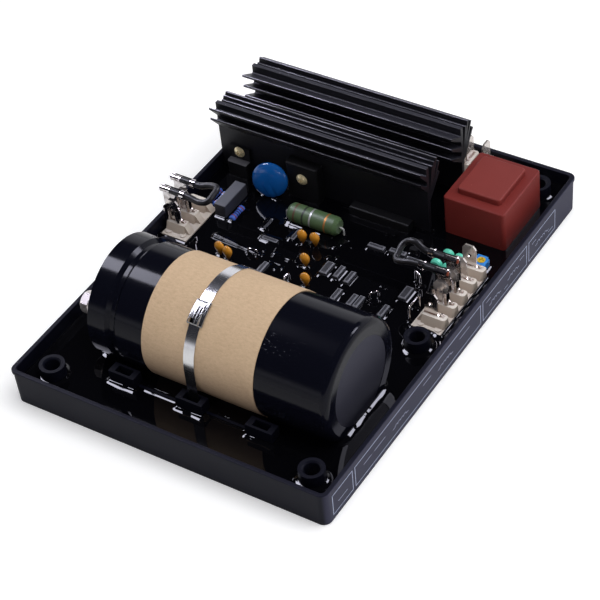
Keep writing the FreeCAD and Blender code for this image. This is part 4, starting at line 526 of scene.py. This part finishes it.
def paintNodes():
    # the finish of a node is that of the word which its name holds
    zinc = zincSteel()
    tin = tinnedBrass()
    epoxy = deviceEpoxy()
    finishes = {
        "tray": trayPlastic(), "potting_resin": resinBody(), "capacitor_sleeve": sleeveFilm(),
        "circuit_board": mottled("boardGreen", (0.7, 2, 0.5, (3, 1, 1)), (20, 66, 40), (30, 84, 52), 0.4),
        "capacitor_can": mottled("canAluminium", (0.3, 3, 0.5, (1, 20, 20)), (205, 205, 208),
                                 (165, 165, 170), 0.28, 0.1, metallic=1.0),
        "capacitor_end_disc": discCard(), "capacitor_paper_wrap": kraftPaper(),
        "capacitor_terminal_deck": mottled("deckPhenolic", (0.6, 3), (26, 24, 24), (44, 40, 38), 0.4, 0.1,
                                           (0.06, 0.4)),
        "power_resistor": resistorCoat(), "film_capacitor": filmBox(), "varistor_disc": varistorCoat(),
        "transformer": brickPotting(), "terminal_bolts": zinc, "terminal_washers": zinc,
        "trimmer_body": mottled("trimmerBlue", (1.6, 2), (66, 152, 232), (36, 118, 205), 0.3),
        "trimmer_rotor": mottled("trimmerYellow", (1.2, 3), (236, 202, 52), (186, 150, 30), 0.32),
        "device_screws": mottled("yellowZinc", (1.4, 3), (255, 244, 206), (226, 206, 156), 0.2, 0.12,
                                 metallic=0.5),
        "disc_capacitor": mottled("mintCoat", (2, 2), (112, 232, 204), (84, 200, 170), 0.35,
                                  dents=(0.1, 0.3)),
        "strap_": brushedSteel("bandSteel", 235, 195, 0.12),
        "receptacle": tin, "wire_links": tin, "_tab_": tabMetal(), "heat_sink": anodised(),
        "_transistor": epoxy, "low_power_module": epoxy, "box_capacitors": boxPlastic(),
        "drop_capacitor": dropCoat(), "terminal_strip": stripNylon(), "jumper_wire": wireInsulation(),
    }
    for name, node in cadNodes.items():
        found = [finish for word, finish in finishes.items() if word in name]
        node.data.materials.clear()
        node.data.materials.append(found[0] if found else blueResistor(name))
    print("nodes painted")


paintNodes()


# Meshes from whole arrays, in millimetres
def newMesh(name, points, faces, material, smooth=True):
    mesh = bpy.data.meshes.new(name)
    places = np.asarray(points, float) * mm
    mesh.from_pydata(places.tolist(), [], faces.tolist() if isinstance(faces, np.ndarray) else faces)
    mesh.validate()
    mesh.polygons.foreach_set("use_smooth", np.full(len(mesh.polygons), smooth))
    mesh.materials.append(material)
    made = bpy.data.objects.new(name, mesh)
    bpy.context.scene.collection.objects.link(made)
    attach(made, "root")
    return made


def gridFaces(rows, columns, keep=None):
    # each square of a grid, numbered along its rows
    corner = np.arange(rows * columns).reshape(rows, columns)
    faces = np.stack([corner[:-1, :-1], corner[:-1, 1:], corner[1:, 1:], corner[1:, :-1]], -1)
    return faces[keep] if keep is not None else faces.reshape(-1, 4)


def closedRings(rings, before, beyond):
    # a skin over rings of points, closed by a point before the first ring and one beyond the last
    rows, around = rings.shape[:2]
    corner = np.arange(rows * around).reshape(rows, around)
    after = np.roll(corner, -1, 1)
    sides = np.stack([corner[:-1], after[:-1], after[1:], corner[1:]], -1).reshape(-1, 4)
    start = np.stack([np.full(around, rows * around), after[0], corner[0]], -1)
    end = np.stack([corner[-1], after[-1], np.full(around, rows * around + 1)], -1)
    return np.vstack([rings.reshape(-1, 3), before, beyond]), sides.tolist() + start.tolist() + end.tolist()


def loosePieces(name):
    # the box of every separate solid of a CAD node: corners that share a face get the same lowest label
    points, triangles = cornersOf(name)
    _, label = np.unique(np.round(points * 1000).astype(np.int64), axis=0, return_inverse=True)
    label = label.reshape(-1)
    merged = label[triangles]
    lowest = np.arange(label.max() + 1)
    while True:
        least = lowest[merged].min(1)
        settled = lowest.copy()
        for column in range(3):
            np.minimum.at(settled, merged[:, column], least)
        settled = settled[settled]
        if np.array_equal(settled, lowest):
            break
        lowest = settled
    piece = lowest[label]
    return [(points[piece == one].min(0), points[piece == one].max(0)) for one in np.unique(piece)]


# Resin surface
def shoreLines():
    # the edges of the resin's level top, where it meets the tray and all that stands in it: x, y, x, y
    points, triangles = cornersOf("potting_resin")
    flat = triangles[(np.abs(points[triangles][:, :, 2] - points[:, 2].max()) < 0.01).all(1)]
    places, label = np.unique(np.round(points, 3), axis=0, return_inverse=True)
    sides = np.sort(label.reshape(-1)[flat][:, [[0, 1], [1, 2], [2, 0]]].reshape(-1, 2), axis=1)
    sides, uses = np.unique(sides, axis=0, return_counts=True)
    return places[sides[uses == 1]][:, :, :2].reshape(-1, 4)


# Where things stand in the resin, and how far it climbs out from some of them
canMiddle = sum(boxOf("capacitor_sleeve")) / 2
bosses = {"radius": 5.4, "places": [(side * 61.8, row * 93.0) for side in (-1, 1) for row in (-1, 0, 1)]}
loops = {"reach": 32.8, "rows": (canMiddle[1] - 27.7, canMiddle[1] + 27.7)}
standing = [(boxOf(name), out) for name, out in (
    ("right_terminal_strip", 1.6), ("left_terminal_strip", 1.6), ("back_terminal_strip", 1.6),
    ("transformer", 0.5), ("small_transistor", 0.5), ("large_transistor", 0.5), ("low_power_module", 0.9))]


def reachAt(x, y, length):
    # how far out from a shore the resin climbs, by what stands there
    where = {"canFrom": -52, "canTo": 66, "canHalf": 19, "edge": 1.0, "strapHalf": 0.9, "wallX": 72.5,
             "wallY": 102, "loopHalf": 6.5, "loopWide": 9, "short": 0.5}
    reach = {"can": 3.4, "boss": 2.5, "strap": 1.3, "rightWall": 0.45, "otherWalls": 1.1, "loop": 2.8,
             "bend": 1.5, "other": 2.4}
    if abs(y - canMiddle[1]) < where["canHalf"] and where["canFrom"] < x < where["canTo"]:
        return reach["can"]
    if any(abs(math.hypot(x - bossX, y - bossY) - bosses["radius"]) < where["edge"]
           for bossX, bossY in bosses["places"]):
        return reach["boss"]
    toLoops = min(abs(y - row) for row in loops["rows"])
    if toLoops < where["strapHalf"] and abs(x) < loops["reach"]:
        return reach["strap"]
    for (low, high), out in standing:
        if (low[:2] - where["edge"] < (x, y)).all() and ((x, y) < high[:2] + where["edge"]).all():
            return out
    if x > where["wallX"]:
        return reach["rightWall"]
    if x < -where["wallX"] or abs(y) > where["wallY"]:
        return reach["otherWalls"]
    if toLoops < where["loopHalf"] and abs(x) < loops["reach"] + where["loopWide"]:
        return reach["loop"]
    return reach["bend"] if length < where["short"] else reach["other"]


def resinSurface():
    # A sheet on the potting resin. Its height is the resin's level plus the highest climb at any shore line:
    # climb times reach times the square of one less distance over reach. Drips are added to it.
    size = {"level": 10.02, "spacing": 0.42, "margin": 0.5, "overlap": 0.9, "near": 3.8, "climb": 0.37,
            "uneven": 0.1}
    # x, y, width, climb: leads and blobs just under the surface
    drips = [(0.4, 24.0, 0.9, 0.62), (1.4, 24.0, 0.9, 0.62), (2.0, 17.1, 1.0, 0.66), (5.6, 18.6, 0.9, 0.6),
             (2.8, 26.8, 0.9, 0.6), (1.0, 31.5, 1.0, 0.62), (4.3, 30.8, 0.8, 0.55), (7.6, 27.2, 0.7, 0.5),
             (-14.6, 19.0, 0.8, 0.6), (-8.6, 20.6, 0.8, 0.6), (-6.6, 7.2, 0.8, 0.6), (-3.0, 8.4, 0.7, 0.6),
             (17.4, 40.6, 0.7, 0.5), (20.4, 42.2, 0.7, 0.5), (23.4, 35.6, 0.7, 0.5), (44.0, 15.4, 0.7, 0.5),
             (49.6, 6.4, 1.0, 0.6), (-19.5, 20.8, 0.9, 0.6), (-31.8, 20.9, 0.9, 0.6), (-14.5, 1.0, 0.8, 0.6),
             (-11.8, 2.6, 0.8, 0.6), (-24.0, 6.0, 0.8, 0.5), (-26.2, 5.0, 0.7, 0.5), (-25.0, 8.6, 0.6, 0.5)]
    shore = shoreLines()
    edges = np.abs(shore.reshape(-1, 2)).max(0) + size["margin"]
    x, y = (np.linspace(-edge, edge, int(2 * edge / size["spacing"])) for edge in edges)
    gridX, gridY = np.meshgrid(x, y)
    uneven = np.sin(0.47 * gridX + 1.7 * np.sin(0.31 * gridY)) * np.sin(0.43 * gridY + np.sin(0.3 * gridX))
    height = np.zeros(gridX.shape)
    away = np.full(gridX.shape, size["near"])
    for startX, startY, endX, endY in shore:
        columns, rows = (
            slice(*np.searchsorted(line, (min(ends) - size["near"], max(ends) + size["near"])))
            for line, ends in ((x, (startX, endX)), (y, (startY, endY))))
        spanX, spanY = endX - startX, endY - startY
        length = math.hypot(spanX, spanY)
        nearX, nearY = gridX[rows, columns] - startX, gridY[rows, columns] - startY
        along = np.clip((nearX * spanX + nearY * spanY) / max(length, 1e-6) ** 2, 0, 1)
        distance = np.hypot(nearX - along * spanX, nearY - along * spanY)
        reach = reachAt((startX + endX) / 2, (startY + endY) / 2, length)
        reach = reach * (1 + size["uneven"] * uneven[rows, columns])
        there = size["climb"] * reach * np.clip(1 - distance / reach, 0, 1) ** 2
        height[rows, columns] = np.maximum(height[rows, columns], there)
        away[rows, columns] = np.minimum(away[rows, columns], distance)
    for dripX, dripY, width, climb in drips:
        height += climb * np.exp(-(np.hypot(gridX - dripX, gridY - dripY) / width) ** 2)
    wet = np.zeros(gridX.shape, bool)
    for row, level in enumerate(y):
        # a point is in the resin if an odd number of shore lines is crossed on the way to it along its row
        crossed = shore[(shore[:, 1] > level) != (shore[:, 3] > level)]
        part = (level - crossed[:, 1]) / (crossed[:, 3] - crossed[:, 1])
        crossings = np.sort(crossed[:, 0] + part * (crossed[:, 2] - crossed[:, 0]))
        wet[row] = np.searchsorted(crossings, x) % 2 == 1
    shown = wet | (away < size["overlap"])
    keep = shown[:-1, :-1] & shown[:-1, 1:] & shown[1:, 1:] & shown[1:, :-1]
    points = np.stack([gridX, gridY, size["level"] + height], -1)
    gloss = resinGloss()
    cuts = np.linspace(0, len(y) - 1, 4).astype(int)
    for part, first, last in zip(("front", "middle", "back"), cuts[:-1], cuts[1:]):
        faces = gridFaces(last - first + 1, len(x), keep[first:last])
        sheet = points[first:last + 1].reshape(-1, 3)
        newMesh("resin_surface_" + part, sheet, faces, gloss)
        print("resin surface,", part + ":", len(faces), "squares")


resinSurface()


# Swells of the resin over buried parts and under raised ones, each swept along its own line
def resinRuns():
    # height: half the width times the lean times the squared cosine across, rounded off at the ends, with
    # ripples along the line
    size = {"along": 90, "across": 33, "level": 9.98, "ends": 0.9, "ripples": 4.5, "longWave": 0.6,
            "shortWave": 1.4, "shortShare": 0.3}
    # start x, y, end x, y, width at the start and the end, lean, ripples, unevenness
    runs = [(-51.4, 8.2, -27.0, 5.8, 7.0, 2.0, 0.34, 0.03, 0.02),
            (-21.6, 9.0, -10.6, 8.6, 4.6, 3.6, 0.34, 0.03, 0.03),
            (-27.8, 29.5, -3.2, 29.1, 7.6, 6.8, 0.36, 0.0, 0.02),
            (-47.4, 41.0, -36.4, 40.4, 4.8, 4.4, 0.4, 0.0, 0.06),
            (-9.4, 8.2, -10.4, 13.8, 1.3, 1.3, 0.5, 0.0, 0.1),
            (-20.4, 6.6, -21.4, 13.2, 1.3, 1.3, 0.5, 0.0, 0.1),
            (28.6, 0.2, 36.4, 2.6, 2.4, 1.4, 0.42, 0.05, 0.1),
            (35.6, 2.4, 50.0, 6.6, 1.1, 1.0, 0.4, 0.0, 0.2),
            (-23.9, -80.4, -11.4, -80.6, 1.6, 1.2, 0.4, 0.0, 0.15),
            (10.0, -80.4, 22.0, -80.6, 1.6, 1.2, 0.4, 0.0, 0.15),
            (-20.0, 4.6, -12.0, 4.4, 1.4, 1.0, 0.4, 0.0, 0.3),
            (30.0, 12.0, 34.0, 11.6, 1.6, 1.2, 0.4, 0.0, 0.2)]
    gloss = resinGloss()
    share = np.linspace(0, 1, size["along"])[:, None]
    side = np.linspace(1, -1, size["across"])[None, :]
    crown = np.cos(np.pi / 2 * side) ** 2
    rippled = np.cos(size["ripples"] * np.pi * side) * (1 - side ** 2)
    for number, (startX, startY, endX, endY, wide, wideEnd, lean, ripples, uneven) in enumerate(runs):
        spanX, spanY = endX - startX, endY - startY
        length = math.hypot(spanX, spanY)
        half = (wide + (wideEnd - wide) * share) / 2
        near = np.clip(np.minimum(share, 1 - share) * length / (size["ends"] * half), 0, 1)
        wave = np.sin(share * length * size["longWave"] + number)
        wave = wave + size["shortShare"] * np.sin(share * length * size["shortWave"])
        half = half * np.sqrt(1 - (1 - near) ** 2) * (1 + uneven * wave)
        height = half * (lean * crown + ripples * rippled)
        points = np.stack([startX + spanX * share - spanY / length * half * side,
                           startY + spanY * share + spanX / length * half * side,
                           size["level"] + height], -1)
        newMesh("resin_run_%02d" % number, points.reshape(-1, 3), gridFaces(size["along"], size["across"]),
                gloss)
    print("resin runs:", len(runs))


resinRuns()


# Dipped capacitors: a drop on two leads
def dropBodies():
    # Turned round an upright axis with an oval section. At the share t of its height it is as wide as the
    # sine of pi times t to the power 1.65, to the power 0.7, and low down at least as wide as a neck.
    size = {"steps": 26, "turns": 32, "neck": 0.2, "neckTop": 0.4, "power": 1.65, "round": 0.7,
            "lowest": 9.6}
    coat = dropCoat()
    part = np.linspace(0, 1, size["steps"])[1:-1, None]
    angle = np.linspace(0, 2 * np.pi, size["turns"], endpoint=False)[None, :]
    wide = np.sin(np.pi * part ** size["power"]) ** size["round"]
    wide = np.maximum(wide, size["neck"] * (part < size["neckTop"]))
    names = sorted(name for name in cadNodes if name.startswith("drop_capacitor"))
    for name in names:
        low, high = boxOf(name)
        middle, half = (low + high) / 2, (high - low) / 2
        height = size["lowest"] + (high[2] - size["lowest"]) * part
        rings = np.stack([middle[0] + half[0] * wide * np.cos(angle),
                          middle[1] + half[1] * wide * np.sin(angle), height * np.ones_like(angle)], -1)
        points, faces = closedRings(rings, [*middle[:2], size["lowest"]], [*middle[:2], high[2]])
        piece = newMesh(name + "_dip", points, faces, coat)
        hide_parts(name)
    print("drops:", len(names))


dropBodies()


# Varistor: a domed disc with a fold in its coat, standing on its edge
def varistorDisc():
    # Thickness over radius r from 0 to 1: the root of one less r to the fourth, with a fold like a bell
    # across the lower front. The rings go from the middle of the back over the rim to that of the front.
    size = {"radial": 30, "around": 64, "bottom": 10.3, "flank": 0.28, "fold": 0.1925, "foldWide": 0.09,
            "foldAt": 0.1, "foldTilt": 0.32, "foldFade": 1.6, "turn": 0.24, "lean": 0.16}
    low, high = boxOf("varistor_disc")
    middle, half = (low + high) / 2, (high - low) / 2
    radiusZ = (high[2] - size["bottom"]) / 2
    out = np.linspace(0, 1, size["radial"])
    out = np.concatenate([out[1:], out[-2:0:-1]])[:, None]
    side = np.where(np.arange(len(out)) < size["radial"] - 1, 1, -1)[:, None]
    angle = np.linspace(0, 2 * np.pi, size["around"], endpoint=False)[None, :]
    right, up = out * np.cos(angle), out * np.sin(angle)
    dome = np.sqrt(np.clip(1 - out ** 4, 0, 1)) * (1 - size["flank"] * out ** 2)
    fold = np.exp(-((right - size["foldAt"] + size["foldTilt"] * up) / size["foldWide"]) ** 2)
    fold = size["fold"] * fold * np.clip(-up * size["foldFade"], 0, 1)
    depth = side * half[1] * np.clip(dome - fold * (side < 0), 0, 1)
    across = half[0] * right
    turnSine, turnCosine = math.sin(size["turn"]), math.cos(size["turn"])
    rings = np.stack([middle[0] + across * turnCosine - depth * turnSine,
                      middle[1] + depth + across * turnSine + radiusZ * up * size["lean"],
                      size["bottom"] + radiusZ * (1 + up)], -1)
    poles = [(middle[0] - way * half[1] * turnSine, middle[1] + way * half[1], size["bottom"] + radiusZ)
             for way in (1, -1)]
    points, faces = closedRings(rings, *poles)
    disc = newMesh("varistor_coat", points, faces, varistorCoat())
    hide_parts("varistor_disc")
    print("varistor:", len(faces), "faces")


varistorDisc()


# Painted highlights: bright lines on the fins' sharp edges, where they catch the light
def sinkEdges():
    # ribbons on the long convex edges that turn upward and to the front
    size = {"wide": 0.19, "lift": 0.03, "shortest": 60.0, "sharp": 0.75, "upward": 0.1, "frontward": 0.2,
            "front": (0.438, -0.59, 0.679)}
    # painted highlight: pale grey ribbons, darker in stretches along them
    finish = Finish("paintedEdgeHighlight")
    wear = finish.noise(6, 4, 0.65, (5, 1, 1))
    tone = finish.mix(finish.step(wear, 0.34, 0.66), linear(22, 22, 27), linear(132, 130, 140))
    painted_light_and_wear = finish.done(base=tone, metallic=0.3, roughness=0.3)
    points = []
    for name in ("front_heat_sink", "rear_heat_sink"):
        place = np.round(cornersOf(name)[0], 3)
        sides = {}
        for polygon in cadNodes[name].data.polygons:
            ring = [tuple(place[corner]) for corner in polygon.vertices]
            for start, end in zip(ring, ring[1:] + ring[:1]):
                if abs(end[0] - start[0]) > size["shortest"]:
                    sides.setdefault(tuple(sorted((start, end))), []).append(polygon)
        for (start, end), faces in sides.items():
            if len(faces) != 2:
                continue
            first, second = (np.array(face.normal) for face in faces)
            outward = first + second
            apart = np.array(faces[1].center) - np.array(faces[0].center)
            if first @ second > size["sharp"] or apart @ first > 0:
                continue
            if outward[2] < size["upward"] or outward @ size["front"] < size["frontward"]:
                continue
            outward /= np.linalg.norm(outward)
            across = np.cross([1, 0, 0], outward) * size["wide"] / 2
            for corner, side in ((start, -1), (start, 1), (end, 1), (end, -1)):
                points.append(np.array(corner) + outward * size["lift"] + across * side)
    faces = np.arange(len(points)).reshape(-1, 4)
    newMesh("sink_edge_highlights", points, faces, painted_light_and_wear, smooth=False)
    print("sink edges:", len(faces))


sinkEdges()


# Bare copper strands at the ends of the right crimps
def copperStrands():
    # one strand in the middle and six round it, cut off on a slant
    size = {"strand": 0.3, "sides": 12, "bundle": 0.62, "inside": 0.9, "outside": 0.35, "slant": 0.5,
            "drop": 2.0}
    finish = Finish("bareCopper")
    tarnish = finish.noise(0.6, 2)
    copper = finish.done(base=finish.mix(tarnish, linear(226, 128, 96), linear(150, 66, 48)), metallic=0.8,
                         roughness=0.3)
    turn = np.linspace(0, 2 * np.pi, size["sides"], endpoint=False)
    circle = np.stack([np.zeros_like(turn), np.cos(turn), np.sin(turn)], -1)
    points, faces = [], []
    for name in ("right_receptacle_1", "right_receptacle_2"):
        low, high = boxOf(name)
        middle = np.array([high[0], (low[1] + high[1]) / 2, high[2] - size["drop"]])
        for off in np.vstack([np.zeros(3), size["bundle"] * circle[::2]]):
            ends = [middle + off - (size["inside"], 0, 0),
                    middle + off + (size["outside"] - size["slant"] * abs(off[1]), 0, 0)]
            rings = np.stack([end + size["strand"] * circle for end in ends])
            strand, skin = closedRings(rings, *ends)
            faces += [[len(points) + corner for corner in face] for face in skin]
            points += strand.tolist()
    newMesh("copper_strands", points, faces, copper, smooth=False)
    print("copper strands:", len(faces), "faces")


copperStrands()


# Strap buckle: a folded clip, its left part rising toward its lower end, its flat right part grooved
def strapBuckle():
    # shares run across the clip from left to right, and along it from its upper to its lower end
    size = {"wide": 6.9, "plate": 0.35, "rise": 1.35, "rampEnd": 0.85, "rampBend": 0.8, "ridge": 0.16,
            "ridgeSpacing": 0.19, "tongueLeft": 0.34, "tongueTop": 0.3, "flatRise": 0.25, "groove": 0.07,
            "grooveSpacing": 0.05, "wall": 0.76, "wallSteep": 80, "windowAcross": (0.13, 0.44),
            "windowAlong": (0.76, 0.93), "windowLift": 0.1, "trim": 0.06, "rows": 60, "columns": 56}
    low, high = boxOf("strap_buckle")
    axisY, axisZ = canMiddle[1:]
    seat = boxOf("strap_band")[1][2] - axisZ
    lowerAngle = math.atan2(axisY - low[1], low[2] - axisZ) - size["trim"]
    upperAngle = math.atan2(axisY - high[1], high[2] - axisZ) + size["trim"]
    across, along = np.meshgrid(np.linspace(1, 0, size["columns"]), np.linspace(0, 1, size["rows"]))

    def ends(share, power):
        # one over the whole share, falling to none at both its ends
        return np.sqrt(np.clip(1 - (2 * share - 1) ** power, 0, 1))

    ramped = size["plate"] + size["rise"] * np.clip(along / size["rampEnd"], 0, 1) ** size["rampBend"]
    fromLeft = across - size["tongueLeft"]
    tongue = (fromLeft > 0) & (along > size["tongueTop"])
    ridges = np.where(tongue, size["ridge"] * np.sin(fromLeft * 2 * np.pi / size["ridgeSpacing"]), 0)
    grooves = size["groove"] * np.sin(across * 2 * np.pi / size["grooveSpacing"])
    flat = size["plate"] + size["flatRise"] + grooves
    blend = 1 / (1 + np.exp((across - size["wall"]) * size["wallSteep"]))
    height = ((ramped + ridges) * blend + flat * (1 - blend)) * ends(across, 16) * ends(along, 24)
    angle = upperAngle + (lowerAngle - upperAngle) * along

    def around(radius):
        return np.stack([(low[0] + high[0]) / 2 + (across - 0.5) * size["wide"],
                         axisY - radius * np.sin(angle), axisZ + radius * np.cos(angle)], -1).reshape(-1, 3)

    window = np.ones((size["rows"] - 1, size["columns"] - 1), bool)
    for share, (start, end) in ((across, size["windowAcross"]), (along, size["windowAlong"])):
        middle = (share[:-1, :-1] + share[1:, 1:]) / 2
        window &= (middle > start) & (middle < end)
    steel = brushedSteel("clipSteel", 172, 143, 0.18)
    clipFaces = gridFaces(*across.shape, ~window)
    clip = newMesh("buckle_clip", around(seat + height), clipFaces, steel)
    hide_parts("strap_buckle")
    # painted shade: a black sheet under the clip's window, where the opening is dark
    windowFaces = gridFaces(*across.shape, window)
    newMesh("buckle_window_shade", around(seat + size["windowLift"]), windowFaces, resinBody())
    print("buckle:", across.size, "points")


strapBuckle()


# Darker patches on the tops of the small grey boxes, where each is marked
def boxLabels():
    size = {"inset": 0.62, "lift": 0.03}
    finish = Finish("boxMark")
    wear = finish.noise(0.4, 3, 0.7)
    tone = finish.mix(finish.step(wear, 0.4, 0.8), linear(40, 40, 47), linear(74, 75, 84))
    ink = finish.done(base=tone, roughness=0.5)
    points = []
    for name in ("box_capacitors_lengthways", "box_capacitors_crosswise"):
        for low, high in loosePieces(name):
            lowX, lowY = low[:2] + size["inset"]
            highX, highY = high[:2] - size["inset"]
            top = high[2] + size["lift"]
            points += [(lowX, lowY, top), (highX, lowY, top), (highX, highY, top), (lowX, highY, top)]
    faces = np.arange(len(points)).reshape(-1, 4)
    newMesh("box_marks", points, faces, ink, smooth=False)
    print("box marks:", len(faces))


boxLabels()


# Printed frames and line marks on the tray's right wall
def wallPrint():
    # Flat ribbons a hair off the wall. A ribbon follows a line of points along the wall, y and z, and is as
    # wide as the pen; the wall leans in by its draft below the rim band.
    size = {"rimStep": 0.35, "draft": 1.2, "bandHeight": 1.4, "proud": 0.05, "pen": 0.42, "thinPen": 0.3,
            "panelLow": 2.6, "panelHigh": 12.9, "coilRadius": 1.1, "coilLead": 1.6}
    # from y, to y; then middle y, z, turns; then from y, to y, z
    panels = [(-99.0, -84.5), (-82.5, 17.5), (19.5, 58.0), (60.0, 84.0)]
    coils = [(-48.0, 6.6, 4), (-12.0, 7.2, 4), (30.0, 6.5, 3), (46.0, 7.4, 3), (72.0, 6.6, 4)]
    rules = [(-95.0, -88.5, 6.6), (-76.0, -70.5, 8.4), (-68.0, -60.0, 8.4), (-30.0, -24.0, 9.6),
             (0.0, 8.0, 9.2), (22.5, 26.0, 10.2), (38.0, 41.0, 4.9), (52.0, 55.5, 9.8), (63.0, 66.5, 9.9),
             (78.0, 82.0, 5.0)]
    high = boxOf("tray")[1]
    slope = math.tan(math.radians(size["draft"]))
    points, faces = [], []

    def wallX(z):
        return high[0] - size["rimStep"] - (high[2] - size["bandHeight"] - z) * slope + size["proud"]

    def ribbon(line, pen):
        line = np.asarray(line, float)
        for first, last in zip(line[:-1], line[1:]):
            run = last - first
            run = run / max(np.hypot(*run), 1e-9)
            side = np.array([-run[1], run[0]]) * pen / 2
            first, last = first - run * pen / 2, last + run * pen / 2
            start = len(points)
            for corner in (first - side, last - side, last + side, first + side):
                points.append((wallX(corner[1]), corner[0], corner[1]))
            faces.append([start, start + 1, start + 2, start + 3])

    for startY, endY in panels:
        bottom, top = size["panelLow"], size["panelHigh"]
        ribbon([(startY, bottom), (endY, bottom), (endY, top), (startY, top), (startY, bottom)], size["pen"])
    for centreY, centreZ, turns in coils:
        # a winding's symbol: a run of half circles between two leads
        angle = np.linspace(0, np.pi * turns, turns * 7)
        wide = size["coilRadius"] * turns
        arcY = centreY - wide + (angle // np.pi * 2 + 1 - np.cos(angle % np.pi)) * size["coilRadius"]
        arc = np.stack([arcY, centreZ + np.sin(angle % np.pi) * size["coilRadius"]], -1)
        leads = [[[centreY + way * (wide + size["coilLead"]), centreZ]] for way in (-1, 1)]
        ribbon(np.vstack([leads[0], arc, leads[1]]), size["thinPen"])
    for startY, endY, z in rules:
        ribbon([(startY, z), (endY, z)], size["thinPen"])
    finish = Finish("printInk")
    wear = finish.noise(0.5, 3, 0.7)
    tone = finish.mix(finish.step(wear, 0.45, 0.75), linear(176, 184, 210), linear(116, 121, 142))
    ink = finish.done(base=tone, roughness=0.6)
    newMesh("wall_marks", points, faces, ink, smooth=False)
    print("wall marks:", len(faces), "strokes")


wallPrint()


# Camera, where the photograph was taken from
def standAt(made, right, up, back, place):
    # turn and place an object by its three directions and its place, in metres
    rows = np.eye(4)
    rows[:3] = np.stack([right, up, back, place], 1)
    made.matrix_world = Matrix(rows.tolist())
    bpy.context.scene.collection.objects.link(made)


def placeCamera():
    view = {"azimuth": 36.632, "elevation": 42.744, "roll": -6.904, "distance": 880.74, "rightShift": -0.761,
            "upShift": -12.809, "focal": 2116.64, "frame": 600, "sensor": 36.0, "rimHeight": 17.0}
    azimuth, elevation, roll = (math.radians(view[name]) for name in ("azimuth", "elevation", "roll"))
    back = np.array([math.sin(azimuth) * math.cos(elevation), -math.cos(azimuth) * math.cos(elevation),
                     math.sin(elevation)])
    right = np.cross(-back, [0, 0, 1])
    right /= np.linalg.norm(right)
    up = np.cross(right, -back)
    turnedRight = right * math.cos(roll) + up * math.sin(roll)
    turnedUp = up * math.cos(roll) - right * math.sin(roll)
    place = turnedRight * view["rightShift"] + turnedUp * view["upShift"] + back * view["distance"]
    place[2] += view["rimHeight"]
    lens = bpy.data.cameras.new("camera")
    lens.sensor_width = view["sensor"]
    lens.lens = view["focal"] / view["frame"] * view["sensor"]
    lens.clip_start = 0.01
    camera = bpy.data.objects.new("camera", lens)
    standAt(camera, turnedRight, turnedUp, back, place * mm)
    bpy.context.scene.camera = camera


def softbox(name, toward, distance, width, height, radiance, tint=(1, 1, 1), glossy=True, diffuse=True):
    # a rectangle in the direction toward, as far off as distance, that faces the object; width lies along x;
    # its power follows from how bright its face is
    light = bpy.data.lights.new(name, "AREA")
    light.shape = "RECTANGLE"
    light.size = width
    light.size_y = height
    light.energy = radiance * math.pi * width * height
    light.color = tint
    lamp = bpy.data.objects.new(name, light)
    back = np.array(toward, float)
    back /= np.linalg.norm(back)
    right = np.cross([0, 1, 0], back)
    right /= np.linalg.norm(right)
    lamp.visible_glossy = glossy
    lamp.visible_diffuse = diffuse
    standAt(lamp, right, np.cross(back, right), back, back * distance)


def buildStudio():
    # White floor and white surroundings up to a low height all round, dark above, and softboxes. The camera
    # and mirrors see the white; the light on the object stays plain.
    size = {"reach": 3.0, "drop": -0.0002}
    floorMesh = bpy.data.meshes.new("floor")
    corners = [(x * size["reach"], y * size["reach"], size["drop"])
               for x, y in ((-1, -1), (1, -1), (1, 1), (-1, 1))]
    floorMesh.from_pydata(corners, [], [(0, 1, 2, 3)])
    floor = bpy.data.objects.new("floor", floorMesh)
    bpy.context.scene.collection.objects.link(floor)
    finish = Finish("floorWhite")
    grain = finish.noise(40, 2)
    seen = finish.add("ShaderNodeLightPath", {}, {}, "Is Camera Ray")
    finish.done(base=finish.mix(grain, (0.93, 0.93, 0.93), (0.95, 0.95, 0.95)), roughness=0.9, specular=0.1,
                glow=finish.mix(seen, (0, 0, 0), (0.24, 0.24, 0.24)), glowStrength=1.0)
    floorMesh.materials.append(finish.material)
    world = bpy.data.worlds.new("studio")
    world.use_nodes = True
    nodes = Nodes(world.node_tree)
    toward = nodes.add("ShaderNodeTexCoord", {}, {}, "Generated")
    y, z = (nodes.add("ShaderNodeSeparateXYZ", {}, {0: toward}, axis) for axis in (1, 2))
    # white up to a low height in front and a greater one behind
    mirrored = nodes.ramp(z - y * 0.2, (0.22, (0.93, 0.93, 1.0)), (0.34, (0.02, 0.02, 0.026)))
    glossy = nodes.add("ShaderNodeLightPath", {}, {}, "Is Glossy Ray")
    camera = nodes.add("ShaderNodeLightPath", {}, {}, "Is Camera Ray")
    light = nodes.mix(camera, nodes.mix(glossy, (0.45, 0.45, 0.47), mirrored), (1.0, 1.0, 1.0))
    sky = nodes.add("ShaderNodeBackground", {}, {0: light})
    nodes.add("ShaderNodeOutputWorld", {}, {0: sky})
    bpy.context.scene.world = world
    cool = (0.84, 0.84, 1.0)
    softbox("lampLeft", (-0.80, -0.045, 0.95), 1.24, 0.52, 0.42, 20.0, cool, diffuse=False)
    softbox("lampWindow", (-0.74, 0.56, 0.30), 1.5, 0.5, 0.4, 5.0, cool, diffuse=False)
    softbox("lampBack", (0.45, 0.59, 0.68), 1.2, 0.42, 0.34, 16.0, cool, diffuse=False)
    softbox("lampKey", (0.25, 0.05, 1.0), 1.3, 0.9, 0.8, 3.9, glossy=False)
    softbox("lampRight", (1.0, 0.35, 0.6), 1.3, 0.7, 0.7, 2.0, glossy=False)
    bpy.context.scene.view_settings.view_transform = "Standard"
    print("studio built")


placeCamera()
buildStudio()
